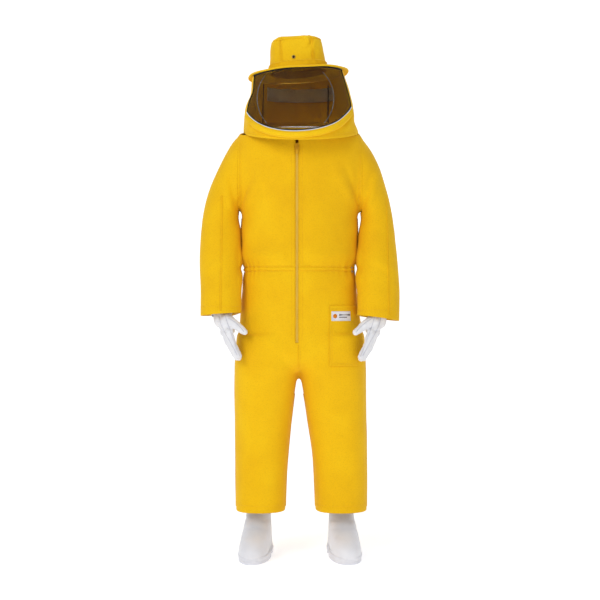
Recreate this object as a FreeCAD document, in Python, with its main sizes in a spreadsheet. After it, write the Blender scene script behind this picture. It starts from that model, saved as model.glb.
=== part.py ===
"""Beekeeping suit: a one-piece coverall with a zip-off hood, hat, veil, gloves and boots.

The suit stands as worn, on its boots. +Z is up, the front faces -Y, and the wearer's left is +X.
Cloth pieces are closed shells of the spacer fabric's own thickness, lofted through oval
stations. Each station is an ellipse whose radii are cells of the sheet "dimensions".
"""
import FreeCAD, Part
import math
import os

Vector = FreeCAD.Vector
Rotation = FreeCAD.Rotation
Placement = FreeCAD.Placement
AXIS_X = Vector(1, 0, 0)
AXIS_Y = Vector(0, 1, 0)
AXIS_Z = Vector(0, 0, 1)

doc = FreeCAD.newDocument("beekeeping_suit")
sheet = doc.addObject("Spreadsheet::Sheet", "dimensions")

# Oval stations: height, half width, half depth. The torso's front line stays at front_y.
TORSO = {
    "seat": (707, 220, 130),
    "hip": (830, 206, 133),
    "waist": (972, 190, 128),
    "ribs": (1070, 194, 140),
    "underarm": (1160, 200, 148),
    "chest": (1250, 232, 150),
    "blades": (1340, 245, 148),
    "collarbone": (1420, 236, 134),
}
# Limb stations: height, outer edge x, inner edge x, half depth, centre y, of the wearer's left.
SLEEVE = {
    "cap": (1419, 213, 69, 100, 36),
    "shoulder": (1396, 232, 78, 96, 36),
    "deltoid": (1345, 264, 96, 88, 36),
    "biceps": (1260, 301, 141, 81, 36),
    "armpit": (1195, 320, 207, 74, 34),
    "upperarm": (1090, 336, 207, 71, 28),
    "elbow": (1005, 338.6, 206.8, 70, 10),
    "forearm": (905, 336, 199, 70, -30),
    "cuff": (826, 333, 192, 71, -62),
}
LEG = {
    "hem": (155, 224.5, 53, 108, 38),
    "knee": (450, 224, 22, 114, 30),
    "thigh": (640, 221, 6, 124, 18),
    "groin": (705, 219.5, 1.5, 128, 15),
    "rise": (860, 190, 0.5, 100, 16),
}
# Hood and hat stations: height, half width, half depth, centre y. Crown heights are above the brim.
HOOD = {
    "hood_mid": (1515, 185, 187, 0),
    "hood_top": (1660, 150, 170, 6),
}
CROWN = {
    "crown_base": (4, 97.5, 112),
    "crown_waist": (86, 88, 101),
    "crown_bend": (117, 79, 91),
    "crown_lid": (128, 64, 76),
}
# Boot stations above the floor: height, centre y from the ankle, half width, half length.
BOOT = {
    "foot": (26, -54, 49, 140),
    "toecap": (60, -50, 48.5, 134),
    "instep": (88, -30, 46, 104),
    "vamp": (118, -4, 43, 72),
    "ankle": (150, 9, 41, 56),
    "topline": (330, 9, 45, 60),
}
# Glove stations below the wrist: height, half width, half thickness.
PALM = {
    "wrist": (0, 42.9, 43),
    "heelpalm": (-26, 31, 39),
    "knuckle": (-60, 19, 43),
    "webbing": (-96, 15, 42),
}
# Fingers: offset across the palm, length past the knuckles.
FINGERS = {"index": (-31, 70), "middle": (-10.5, 78), "ringfinger": (10.5, 73), "little": (31, 58)}

SINGLE = {
    "cloth": 4, "front_y": -112, "zip_x": -10, "sleeve_seam_x": 262,
    "armhole_x": 206, "joint_gap": 1,
    "neck_r": 135, "neck_y": 23, "neck_z": 1441, "neck_tilt": 12,
    "lip_rx": 190, "lip_ry": 191, "lip_y": 5.3, "lip_z": 1436.9, "lip_tilt": 14,
    "base_rise": 18, "sheet_drop": 3,
    "window_y": -67, "window_z": 1498.5, "window_slope": 36.5,
    "rim_width": 20, "rim_half": 5, "veil_wall": 1.2, "piping_width": 3,
    "vent_width": 200, "vent_low": 1556, "vent_high": 1606, "side_seam_y": 20,
    "hat_y": 6, "hat_z": 1633, "hat_roll": -4.9,
    "brim_rx": 166, "brim_ry": 180, "brim_droop": 10, "brim_wall": 3, "brim_wire_r": 1.6,
    "crown_wall": 3, "front_panel_half": 66,
    "eyelet_x": -18, "eyelet_height": 37, "eyelet_r": 5, "eyelet_hole_r": 3.2,
    "hoop_r": 121, "hoop_wire_r": 1.2, "hoop_x": -8, "hoop_y": -96, "hoop_z": 1549, "hoop_lean": 20,
    "snug": 0.05, "casing_wall": 3, "casing_low": 963, "casing_high": 981,
    "elastic_wall": 1.5, "elastic_low": 955, "elastic_high": 989,
    "flap_right": 34, "flap_left": 24, "flap_wall": 1.5, "zip_low": 727, "zip_high": 1388,
    "slot_half": 9, "tape_wall": 1, "tape_front": -110.5,
    "tape_inner": 2, "tooth_pitch": 5, "tooth_height": 3.4, "tooth_inner": 0.5,
    "tooth_outer": 4.5, "tooth_depth": 2.5,
    "slider_z": 1376, "slider_half": 6.5, "slider_length": 20, "slider_wall": 2.4,
    "pull_length": 26, "pull_half": 4.5, "pull_wire_r": 1,
    "neck_tooth_step": 4, "neck_slider_half_angle": 3, "neck_slider_start": 12,
    "neck_pin_r": 0.6, "neck_barrel_r": 1.7, "neck_pull_length": 22,
    "pocket_x": 98, "pocket_width": 112, "pocket_low": 650, "pocket_high": 850,
    "pocket_wall": 2.5, "label_x": 104, "label_width": 74, "label_low": 798, "label_high": 830,
    "label_wall": 0.8,
    "cuff_tilt": -18, "hand_turn": 35, "gauntlet_r": 43, "gauntlet_length": 170,
    "glove_wall": 2, "knit_clear": 3.5, "knit_wall": 2.5, "knit_length": 40, "knit_flange_r": 64,
    "finger_r": 10.5, "fingertip_r": 8.5, "thumb_r": 12, "thumb_length": 62, "thumb_splay": 40,
    "boot_x": 142, "boot_y": 38, "boot_yaw": 7, "boot_wall": 3.5,
    "heel_r": 37, "heel_v": 45, "toe_r": 53, "toe_v": -155, "tread": 14, "midsole": 12,
    "arch_front": -62, "arch_back": 2,
}


def fill_sheet():
    """Writes every driving dimension to the sheet, one alias a row."""
    rows = dict(SINGLE)
    for name, (z, rx, ry) in {**TORSO, **CROWN}.items():
        rows.update({f"{name}_z": z, f"{name}_rx": rx, f"{name}_ry": ry})
    for name, (z, outer, inner, ry, y) in {**SLEEVE, **LEG}.items():
        rows.update({f"{name}_z": z, f"{name}_outer": outer, f"{name}_inner": inner})
        rows.update({f"{name}_ry": ry, f"{name}_y": y})
    for name, (z, rx, ry, y) in HOOD.items():
        rows.update({f"{name}_z": z, f"{name}_rx": rx, f"{name}_ry": ry, f"{name}_y": y})
    for name, (z, y, rx, ry) in BOOT.items():
        rows.update({f"{name}_z": z, f"{name}_rx": rx, f"{name}_ry": ry, f"{name}_y": y})
    for name, (z, thick, wide) in PALM.items():
        rows.update({f"{name}_z": z, f"{name}_thick": thick, f"{name}_wide": wide})
    for name, (offset, length) in FINGERS.items():
        rows.update({f"{name}_offset": offset, f"{name}_length": length})
    for row, (alias, value) in enumerate(rows.items(), start=1):
        sheet.set(f"A{row}", alias)
        sheet.set(f"B{row}", str(value))
        sheet.setAlias(f"B{row}", alias)
    doc.recompute()


def dim(alias):
    return float(sheet.get(alias))


def bind(thing, **sizes):
    """Ties properties of an object to expressions over the sheet's cells."""
    for prop, expression in sizes.items():
        thing.setExpression(prop, expression)
    return thing


def cell(alias):
    return f"dimensions.{alias}"


parts = []


def part(label, thing):
    """Marks an object as one sub-part of the suit: its Label names the file it goes to."""
    thing.Label = label
    parts.append(thing)
    return thing


# ---------------------------------------------------------------- shape helpers

def oval(rx, ry, at, long_side="x", tilt=0.0):
    """An ellipse whose radii are expressions. Its start point lies on long_side in every station."""
    thing = doc.addObject("Part::Ellipse", "oval")
    major, minor = (rx, ry) if long_side == "x" else (ry, rx)
    bind(thing, MajorRadius=major, MinorRadius=minor)
    turn = Rotation(AXIS_Z, 0 if long_side == "x" else 90)
    thing.Placement = Placement(at, Rotation(AXIS_X, tilt) * turn)
    return thing


def loft(sections):
    thing = doc.addObject("Part::Loft", "loft")
    thing.Sections = sections
    thing.Solid = True
    thing.Ruled = True
    return thing


def boolean(kind, base, tool):
    thing = doc.addObject(kind, "boolean")
    thing.Base = base
    thing.Tool = tool
    thing.Refine = False
    return thing


def cut(base, tool):
    return boolean("Part::Cut", base, tool)


def common(base, tool):
    return boolean("Part::Common", base, tool)


def fuse(*shapes):
    thing = doc.addObject("Part::MultiFuse", "fuse")
    thing.Shapes = list(shapes)
    thing.Refine = False
    return thing


def mirrored(source):
    """The same piece for the wearer's right side."""
    thing = doc.addObject("Part::Mirroring", "mirror")
    thing.Source = source
    thing.Base = Vector(0, 0, 0)
    thing.Normal = AXIS_X
    return thing


def both_sides(name, left):
    part(f"{name}_left", left)
    part(f"{name}_right", mirrored(left))


def block(x, y, z, frame=None):
    """A box between (low, high) pairs of numbers on each axis, in a local frame."""
    thing = doc.addObject("Part::Box", "block")
    thing.Length, thing.Width, thing.Height = x[1] - x[0], y[1] - y[0], z[1] - z[0]
    place = Placement(Vector(x[0], y[0], z[0]), Rotation())
    thing.Placement = frame.multiply(place) if frame else place
    return thing


def cylinder(radius, height, frame):
    thing = doc.addObject("Part::Cylinder", "cylinder")
    bind(thing, Radius=radius, Height=height)
    thing.Placement = frame
    return thing


def ring(outer, inner, height, frame):
    """A plain tube: radii and height are expressions."""
    return cut(cylinder(outer, height, frame), cylinder(inner, height, frame))


def lowered(source, direction, distance):
    """A copy of a shape moved against a direction, for cutting a thin sheet out of it."""
    thing = doc.addObject("Part::Feature", "lowered")
    doc.recompute()
    moved = source.Shape.copy()
    moved.translate(direction * -distance)
    thing.Shape = moved
    return thing


def sheet_cone(sections, direction, wall, region):
    """A low conical sheet between two ovals, kept within a region with a hole in the middle."""
    solid = loft(sections)
    return common(cut(solid, lowered(solid, direction, wall)), region)


REACH = 900  # how far the cutting blocks reach past the suit

fill_sheet()
neck = Placement(Vector(0, dim("neck_y"), dim("neck_z")), Rotation(AXIS_X, dim("neck_tilt")))
hat = Placement(Vector(0, dim("hat_y"), dim("hat_z")), Rotation(AXIS_Y, dim("hat_roll")))
neck_up = neck.Rotation.multVec(AXIS_Z)
hat_up = hat.Rotation.multVec(AXIS_Z)


def at(frame, x, y, z):
    return frame.multVec(Vector(x, y, z))


def on(frame, x, y, z, turn=None):
    """A placement at a point of a local frame."""
    return frame.multiply(Placement(Vector(x, y, z), turn or Rotation()))


# ---------------------------------------------------------------- torso and trousers

def torso_oval(name, inset):
    """One station of the torso. inset is an expression taken off both radii."""
    tilt = dim("neck_tilt") if name == "collarbone" else 0
    middle = dim(f"{name}_ry") * math.cos(math.radians(tilt)) + dim("front_y")
    return oval(
        f"{cell(name + '_rx')} - {inset}",
        f"{cell(name + '_ry')} - {inset}",
        Vector(0, middle, dim(f"{name}_z")),
        "x",
        tilt,
    )


def torso_solid(names, inset):
    return loft([torso_oval(name, inset) for name in names])


def make_bodice():
    """Bodice shell, cut flat at the armholes, open at the front for the zip, in three panels."""
    names = ["waist", "ribs", "underarm", "chest", "blades", "collarbone"]
    shell = cut(torso_solid(names, "0"), torso_solid(names, cell("cloth")))
    edge = dim("armhole_x") - dim("joint_gap") / 2
    low, high = dim("waist_z") - 1, dim("neck_z") + 100
    seam = dim("side_seam_y")
    slot = dim("slot_half")
    zip_x = dim("zip_x")
    front_right = block((-edge, zip_x - slot), (-REACH, seam), (low, high))
    front_left = block((zip_x + slot, edge), (-REACH, seam), (low, high))
    back = block((-edge, edge), (seam, REACH), (low, high))
    part("bodice_front_right", common(shell, front_right))
    part("bodice_front_left", common(shell, front_left))
    part("bodice_back", common(shell, back))


def make_yoke():
    """Low cone from the top of the bodice up to the round neck opening."""
    edge = dim("armhole_x") - dim("joint_gap") / 2
    top = oval(cell("neck_r"), cell("neck_r"), at(neck, 0, 0, 0), "x", dim("neck_tilt"))
    hole = cylinder("dimensions.neck_r - 1", "200", on(neck, 0, 0, -100))
    region = cut(block((-edge, edge), (-REACH, REACH), (1300, 1600)), hole)
    part("shoulder_yoke", sheet_cone([torso_oval("collarbone", "0"), top], neck_up, dim("cloth"), region))


def limb_oval(name, inset, drop=0.0, tilt=0.0):
    return oval(
        f"({cell(name + '_outer')} - {cell(name + '_inner')}) / 2 - {inset}",
        f"{cell(name + '_ry')} - {inset}",
        Vector(
            (dim(f"{name}_outer") + dim(f"{name}_inner")) / 2, dim(f"{name}_y"), dim(f"{name}_z") - drop
        ),
        "y",
        tilt,
    )


def make_trousers():
    """Seat and two legs as one hollow, cut into front and back panels of each leg."""
    hips = ["seat", "hip", "waist"]
    outer_leg = loft([limb_oval(name, "0") for name in LEG])
    inner_leg = loft([limb_oval(name, cell("cloth")) for name in LEG])
    outer = fuse(torso_solid(hips, "0"), outer_leg, mirrored(outer_leg))
    floor = dim("seat_z") + dim("cloth")
    above = block((-REACH, REACH), (-REACH, REACH), (floor, REACH * 2))
    hollow = common(torso_solid(hips, cell("cloth")), above)
    inner = fuse(hollow, inner_leg, mirrored(inner_leg))
    slot = dim("slot_half")
    zip_x = dim("zip_x")
    opening = block((zip_x - slot, zip_x + slot), (-REACH, 0), (dim("zip_low"), REACH * 2))
    shell = cut(outer, inner)
    seam = dim("side_seam_y")
    tall = (-10, dim("waist_z") + 10)
    for side, x in (("left", (0, REACH)), ("right", (-REACH, 0))):
        front = cut(block(x, (-REACH, seam), tall), opening)
        part(f"trouser_front_{side}", common(shell, front))
        part(f"trouser_back_{side}", common(shell, block(x, (seam, REACH), tall)))


def make_waist():
    """The raised casing round the waist seam, and the elastic inside it. Both stop at the zip."""
    def band(label, outset, inset, low, high, right, left):
        names = ["hip", "waist", "ribs"]
        shell = cut(torso_solid(names, outset), torso_solid(names, inset))
        zip_x = dim("zip_x")
        gap = block((zip_x - right, zip_x + left), (-REACH, 0), (low - 1, high + 1))
        part(label, common(shell, cut(block((-REACH, REACH), (-REACH, REACH), (low, high)), gap)))

    slot = dim("slot_half") + 4
    band("waist_casing", f"(-{cell('snug')} - {cell('casing_wall')})", f"(-{cell('snug')})",
         dim("casing_low"), dim("casing_high"), slot, slot)
    lining = "dimensions.cloth + dimensions.snug"
    band("waist_elastic", f"({lining})", f"({lining} + dimensions.elastic_wall)",
         dim("elastic_low"), dim("elastic_high"), dim("flap_right") + 2, dim("flap_left") + 2)


def make_pocket():
    """Patch pocket on the front of the left hip and thigh, with a plain stitched label."""
    hips = ["seat", "hip", "waist"]

    def skin(grow_out, grow_in):
        """Shell just outside the left trouser front, following hip and thigh."""
        solids = []
        for grow in (grow_out, grow_in):
            leg = loft([limb_oval(name, f"(-{grow})") for name in LEG])
            solids.append(fuse(torso_solid(hips, f"(-{grow})"), leg))
        return cut(solids[0], solids[1])

    wall, label_wall = dim("pocket_wall"), dim("label_wall")
    clear = dim("snug")
    x0, x1 = dim("pocket_x"), dim("pocket_x") + dim("pocket_width")
    patch = block((x0, x1), (-REACH, dim("side_seam_y") - 6), (dim("pocket_low"), dim("pocket_high")))
    part("pocket_left", common(skin(wall + clear, clear), patch))
    lx0, lx1 = dim("label_x"), dim("label_x") + dim("label_width")
    tag = block((lx0, lx1), (-REACH, 0), (dim("label_low"), dim("label_high")))
    outer = wall + 2 * clear + label_wall
    part("pocket_label", common(skin(outer, wall + 2 * clear), tag))


# ---------------------------------------------------------------- main zip

def make_main_zip():
    """Two tapes in the slot, two rows of teeth with a stop moulded on one, slider and pull tab."""
    zip_x, low, high = dim("zip_x"), dim("zip_low"), dim("zip_high")
    front, wall = dim("tape_front"), dim("tape_wall")
    slot, inner = dim("slot_half"), dim("tape_inner")
    part("main_zip_tape_left", block((zip_x + inner, zip_x + slot), (front, front + wall), (low, high)))
    part("main_zip_tape_right", block((zip_x - slot, zip_x - inner), (front, front + wall), (low, high)))
    lining = "dimensions.cloth + dimensions.snug"
    lined = torso_solid(list(TORSO), f"({lining})")
    strip = cut(lined, torso_solid(list(TORSO), f"({lining} + dimensions.flap_wall)"))
    flap_x = (zip_x - dim("flap_right"), zip_x + dim("flap_left"))
    part("zip_underflap", common(strip, block(flap_x, (-REACH, 0), (low + 14, high - 6))))

    pitch, tall, deep = dim("tooth_pitch"), dim("tooth_height"), dim("tooth_depth")
    near, far = dim("tooth_inner"), dim("tooth_outer")
    count = int((high - low - 8) / pitch)
    for side, sign, phase in (("left", 1, 0.0), ("right", -1, pitch / 2)):
        teeth = []
        for k in range(count):
            x = zip_x + (near if sign > 0 else -far)
            corner = Vector(x, front - deep, low + 5 + phase + k * pitch)
            teeth.append(Part.makeBox(far - near, deep, tall, corner))
        if side == "right":
            teeth.append(Part.makeBox(11, 3, 4.5, Vector(zip_x - 5.5, front - 3, low)))
        row = doc.addObject("Part::Feature", "teeth")
        row.Shape = Part.makeCompound(teeth)
        part(f"main_zip_teeth_{side}", row)

    middle, half, length = dim("slider_z"), dim("slider_half"), dim("slider_length")
    plate = dim("slider_wall")
    z = (middle - length / 2, middle + length / 2)
    face = front - deep - 1.2
    front_plate = block((zip_x - half, zip_x + half), (face - plate, face), z)
    rear = front + wall + 0.3
    back_plate = block((zip_x - half, zip_x + half), (rear, rear + 0.9), z)
    web = block((zip_x - 0.2, zip_x + 0.2), (face, rear), z)
    bail_y = face - plate
    posts = [
        block((zip_x - 1.5, zip_x + 1.5), (bail_y - 4.5, bail_y), (middle + up, middle + up + 2.5))
        for up in (-7, 4.5)
    ]
    bar = block((zip_x - 1.5, zip_x + 1.5), (bail_y - 4.5, bail_y - 3), (middle - 7, middle + 7))
    part("main_zip_slider", fuse(front_plate, back_plate, web, *posts, bar))

    pull_half, wire, reach = dim("pull_half"), dim("pull_wire_r"), dim("pull_length")
    pin_y = bail_y - 1.7
    pin = cylinder(
        "dimensions.pull_wire_r",
        "2 * dimensions.pull_half",
        Placement(Vector(zip_x - pull_half, pin_y, middle), Rotation(AXIS_Y, 90)),
    )
    arms = [
        block((zip_x + x0, zip_x + x1), (pin_y - wire, pin_y + wire), (middle - 11, middle))
        for x0, x1 in ((-pull_half, -3), (3, pull_half))
    ]
    across = (zip_x - pull_half, zip_x + pull_half)
    tab = block(across, (pin_y - wire, pin_y + wire), (middle - reach, middle - 10))
    part("main_zip_pull", fuse(pin, *arms, tab))


def make_neck_zip():
    """Round zip between coverall and hood, in the plane of the neck: tapes, teeth and slider."""
    outer, inner = "dimensions.neck_r - 1", "dimensions.neck_r - 2.2"
    part("neck_zip_tape_lower", ring(outer, inner, "14", on(neck, 0, 0, -10)))
    part("neck_zip_tape_upper", ring(outer, inner, "16", on(neck, 0, 0, 9)))
    radius, step = dim("neck_r"), dim("neck_tooth_step")
    for label, low, phase in (("lower", 4, 0), ("upper", 7, step / 2)):
        teeth = []
        for k in range(int(360 / step)):
            tooth = Part.makeBox(4, 3.8, 2, Vector(-2, -radius - 0.6, low))
            tooth.rotate(Vector(0, 0, 0), AXIS_Z, k * step + phase)
            teeth.append(tooth)
        row = doc.addObject("Part::Feature", "neck_teeth")
        row.Shape = Part.makeCompound(teeth)
        row.Placement = neck
        part(f"neck_zip_teeth_{label}", row)

    half, start = dim("neck_slider_half_angle"), dim("neck_slider_start")

    def sector(inner, outer, low, high):
        """Part of a ring round the neck, centred on the slider's resting place."""
        tall = Part.makeCylinder(outer, high - low, Vector(0, 0, low), AXIS_Z, 2 * half)
        bore = Part.makeCylinder(inner, high - low, Vector(0, 0, low), AXIS_Z, 360)
        piece = tall.cut(bore)
        piece.rotate(Vector(0, 0, 0), AXIS_Z, -90 + start - half)
        return piece

    outside = sector(radius + 1.6, radius + 3.6, 1.5, 12)
    inside = sector(radius - 6.4, radius - 4.4, 1.5, 12)
    web = sector(radius - 4.4, radius + 1.6, 6.35, 6.65)
    turn = Rotation(AXIS_Z, -90 + start)
    stand = Vector(radius + 5.6, 0, 0)
    pin_r, barrel_r = dim("neck_pin_r"), dim("neck_barrel_r")
    lugs = []
    for z in (1.5, 9.5):
        lugs.append(Part.makeBox(5, 3, 1.5, Vector(radius + 2.6, -1.5, z)))
    lugs.append(Part.makeCylinder(pin_r, 9.5, stand + Vector(0, 0, 1.5)))
    for lug in lugs:
        lug.Placement = Placement(Vector(), turn).multiply(lug.Placement)
    slider = doc.addObject("Part::Feature", "neck_slider")
    slider.Shape = outside.fuse([inside, web, *lugs])
    slider.Placement = neck
    part("neck_zip_slider", slider)

    tall, lift = 5.9, Vector(0, 0, 3.3)
    barrel = Part.makeCylinder(barrel_r, tall, stand + lift)
    leaf = Part.makeBox(1.6, dim("neck_pull_length"), tall, stand + lift - Vector(0.8, 0, 0))
    bore = Part.makeCylinder(pin_r + 0.3, tall, stand + lift)
    pull = doc.addObject("Part::Feature", "neck_pull")
    pull.Shape = barrel.fuse(leaf).cut(bore)
    pull.Placement = neck.multiply(Placement(Vector(), turn))
    part("neck_zip_pull", pull)


# ---------------------------------------------------------------- hood

def hood_oval(name, grow):
    centre = Vector(0, dim(f"{name}_y"), dim(f"{name}_z"))
    return oval(f"{cell(name + '_rx')} + {grow}", f"{cell(name + '_ry')} + {grow}", centre, "y")


def lip_oval(grow):
    centre = Vector(0, dim("lip_y"), dim("lip_z"))
    return oval(f"dimensions.lip_rx + {grow}", f"dimensions.lip_ry + {grow}", centre, "y", dim("lip_tilt"))


def hood_solid(grow):
    return loft([lip_oval(grow), hood_oval("hood_mid", grow), hood_oval("hood_top", grow)])


def make_hood():
    """Hood walls, veil window, rolled rim, piping, rear vent and base, all one body with the hat."""
    every = (-REACH, REACH)
    window_edge = Placement(
        Vector(0, dim("window_y"), dim("window_z")), Rotation(AXIS_X, dim("window_slope"))
    )

    def region(x, y, low=None, high=None):
        """A flat-sided region below the brim, held between two planes along the window's edge."""
        under_brim = block(every, every, (-REACH, -7.6), hat)
        zone = common(under_brim, block(x, y, (dim("lip_z") - 200, REACH * 2)))
        if low is None:
            return zone
        return common(zone, block(every, every, (low, high), window_edge))

    ahead = (-REACH, dim("window_y"))
    wall = cut(hood_solid("0"), hood_solid("(-dimensions.cloth)"))
    net = cut(hood_solid("0"), hood_solid("(-dimensions.veil_wall)"))
    part("veil_mesh", common(net, region(every, ahead, dim("piping_width"), REACH)))
    piping = cut(hood_solid("1"), hood_solid("(-2)"))
    part("veil_piping", common(piping, region(every, ahead, 0, dim("piping_width"))))
    roll = cut(hood_solid("dimensions.rim_half"), hood_solid("(-dimensions.rim_half)"))
    part("hood_rim", common(roll, region(every, ahead, -dim("rim_width"), 0)))

    seam = dim("side_seam_y")
    half = dim("vent_width") / 2
    vent = block((-half, half), (seam, REACH), (dim("vent_low"), dim("vent_high")))
    part("rear_vent_mesh", common(wall, vent))
    part("hood_back_panel", common(wall, cut(region(every, (seam, REACH)), vent)))
    opening = region(every, ahead, -dim("rim_width"), REACH)
    for side, x in (("left", (0, REACH)), ("right", (-REACH, 0))):
        part(f"hood_side_{side}", common(wall, cut(region(x, (-REACH, seam)), opening)))

    rise = dim("base_rise")
    top = oval(
        "dimensions.neck_r + 0.2", "dimensions.neck_r + 0.3", at(neck, 0, 0, rise), "y", dim("neck_tilt")
    )
    hole = cylinder("dimensions.neck_r - 0.9", "200", on(neck, 0, 0, -100))
    region = cut(hood_solid("(-dimensions.rim_half - dimensions.snug)"), hole)
    sections = [lip_oval("(-dimensions.cloth - 0.2)"), top]
    part("hood_base", sheet_cone(sections, neck_up, dim("sheet_drop"), region))


def wire_loop(label, rx, ry, radius, place):
    """A closed oval of round spring wire."""
    path = doc.addObject("Part::Ellipse", "wire_path")
    bind(path, MajorRadius=ry, MinorRadius=rx)
    path.Placement = place.multiply(Placement(Vector(0, 0, 0), Rotation(AXIS_Z, 90)))
    doc.recompute()
    start = path.Shape.Vertexes[0].Point
    tangent = place.Rotation.multVec(AXIS_X)
    profile = doc.addObject("Part::Circle", "wire_section")
    bind(profile, Radius=radius)
    profile.Placement = Placement(start, Rotation(AXIS_Z, tangent))
    sweep = doc.addObject("Part::Sweep", "wire_sweep")
    sweep.Sections = [profile]
    sweep.Spine = (path, ["Edge1"])
    sweep.Solid = True
    part(label, sweep)


def hat_oval(rx, ry, height):
    """An oval square to the hat's own axis."""
    thing = oval(rx, ry, Vector(0, 0, 0), "y")
    thing.Placement = on(hat, 0, 0, height, Rotation(AXIS_Z, 90))
    return thing


def hat_tube(rx, ry, wall, low, high):
    outer = loft([hat_oval(rx, ry, z) for z in (low, high)])
    inner = loft([hat_oval(f"{rx} - {wall}", f"{ry} - {wall}", z) for z in (low, high)])
    return cut(outer, inner)


def make_hat():
    """Brim with a wire in its edge, four crown panels, lid, band, sweatband and eyelet."""
    def crown_solid(inset):
        return loft(
            [
                hat_oval(f"{cell(n + '_rx')} - {inset}", f"{cell(n + '_ry')} - {inset}", dim(f"{n}_z"))
                for n in CROWN
            ]
        )

    wall = dim("crown_wall")
    shell = cut(crown_solid("0"), crown_solid(cell("crown_wall")))
    eye_x, eye_h = dim("eyelet_x"), dim("eyelet_height")
    eye_frame = on(hat, eye_x, 0, eye_h, Rotation(AXIS_X, 90))
    eye_hole = cylinder("dimensions.eyelet_r + 0.3", "200", eye_frame)
    half = dim("front_panel_half")
    panels = {
        "crown_front": ((-half, half), (-REACH, 0)),
        "crown_back": ((-half, half), (0, REACH)),
        "crown_side_left": ((half, REACH), (-REACH, REACH)),
        "crown_side_right": ((-REACH, -half), (-REACH, REACH)),
    }
    for label, (x, y) in panels.items():
        panel = common(shell, block(x, y, (0, 200), hat))
        part(label, cut(panel, eye_hole) if label == "crown_front" else panel)
    lid_rx = "dimensions.crown_lid_rx - dimensions.crown_wall - 0.2"
    lid_ry = "dimensions.crown_lid_ry - dimensions.crown_wall - 0.2"
    top = dim("crown_lid_z")
    part("crown_lid", loft([hat_oval(lid_rx, lid_ry, z) for z in (top - wall, top)]))

    band = hat_tube("dimensions.crown_base_rx + 2.2", "dimensions.crown_base_ry + 2.2", "1.9", 4.5, 17)
    part("hat_band", band)
    sweat = hat_tube("dimensions.crown_base_rx - 8", "dimensions.crown_base_ry - 8", "1.6", 5, 30)
    part("sweatband", sweat)

    inner = [cell("crown_base_rx"), cell("crown_base_ry")]
    droop = dim("brim_droop")
    sections = [hat_oval(cell("brim_rx"), cell("brim_ry"), 4 - droop), hat_oval(*inner, 4)]
    hole = loft([hat_oval(f"{inner[0]} - 6", f"{inner[1]} - 6", z) for z in (-40, 40)])
    region = cut(block((-REACH, REACH), (-REACH, REACH), (-60, 60), hat), hole)
    part("hat_brim", sheet_cone(sections, hat_up, dim("brim_wall"), region))
    edge = on(hat, 0, 0, 4 - droop - dim("brim_wall") / 2)
    wire_loop(
        "brim_wire",
        "dimensions.brim_rx + dimensions.brim_wire_r + 0.4",
        "dimensions.brim_ry + dimensions.brim_wire_r + 0.4",
        "dimensions.brim_wire_r",
        edge,
    )

    taper = (dim("crown_base_ry") - dim("crown_waist_ry")) / dim("crown_waist_z")
    slope = dim("crown_base_ry") - eye_h * taper
    barrel = on(hat, eye_x, -slope + 5, eye_h, Rotation(AXIS_X, 90))
    flange = on(hat, eye_x, -slope - 1.4, eye_h, Rotation(AXIS_X, 90))
    body = fuse(
        cylinder("dimensions.eyelet_r", "8", barrel),
        cylinder("dimensions.eyelet_r + 2.5", "1.2", flange),
    )
    part("crown_eyelet", cut(body, cylinder("dimensions.eyelet_hole_r", "20", on(barrel, 0, 0, -2))))

    lean = Rotation(AXIS_X, 90 - dim("hoop_lean"))
    ring_path = doc.addObject("Part::Torus", "hoop")
    bind(ring_path, Radius1="dimensions.hoop_r", Radius2="dimensions.hoop_wire_r")
    ring_path.Placement = Placement(Vector(dim("hoop_x"), dim("hoop_y"), dim("hoop_z")), lean)
    below = block((-REACH, REACH), (-REACH, REACH), (-REACH, -11), hat)
    part("veil_hoop", common(ring_path, below))


# ---------------------------------------------------------------- sleeves and gloves

cuff_x = (SLEEVE["cuff"][1] + SLEEVE["cuff"][2]) / 2
wrist = Placement(
    Vector(cuff_x, dim("cuff_y"), dim("cuff_z")), Rotation(AXIS_X, dim("cuff_tilt"))
)


def make_sleeves():
    """Two-panel sleeves cut flat at the armhole, and a knitted storm cuff inside each."""
    def sleeve_solid(inset, drop):
        return loft(
            [
                limb_oval(
                    name,
                    inset,
                    drop if name == "cap" else 0,
                    dim("cuff_tilt") if name == "cuff" else 0,
                )
                for name in SLEEVE
            ]
        )

    shell = cut(sleeve_solid("0", 0), sleeve_solid(cell("cloth"), dim("cloth")))
    plane = dim("armhole_x") + dim("joint_gap") / 2
    seam = dim("sleeve_seam_x")
    armhole = block((-REACH, plane), (-REACH, REACH), (1050, REACH * 2))
    inner_zone = cut(block((-REACH, seam), (-REACH, REACH), (0, REACH * 2)), armhole)
    both_sides("sleeve_inner", common(shell, inner_zone))
    both_sides("sleeve_outer", common(shell, block((seam, REACH), (-REACH, REACH), (0, REACH * 2))))

    grip = "dimensions.gauntlet_r + dimensions.knit_clear"
    tube = ring(f"{grip} + dimensions.knit_wall", grip, "dimensions.knit_length", on(wrist, 0, 0, 6))
    flange = ring("dimensions.knit_flange_r", f"{grip} + 0.1", "3", on(wrist, 0, 0, 6))
    both_sides("storm_cuff", fuse(tube, flange))


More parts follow.
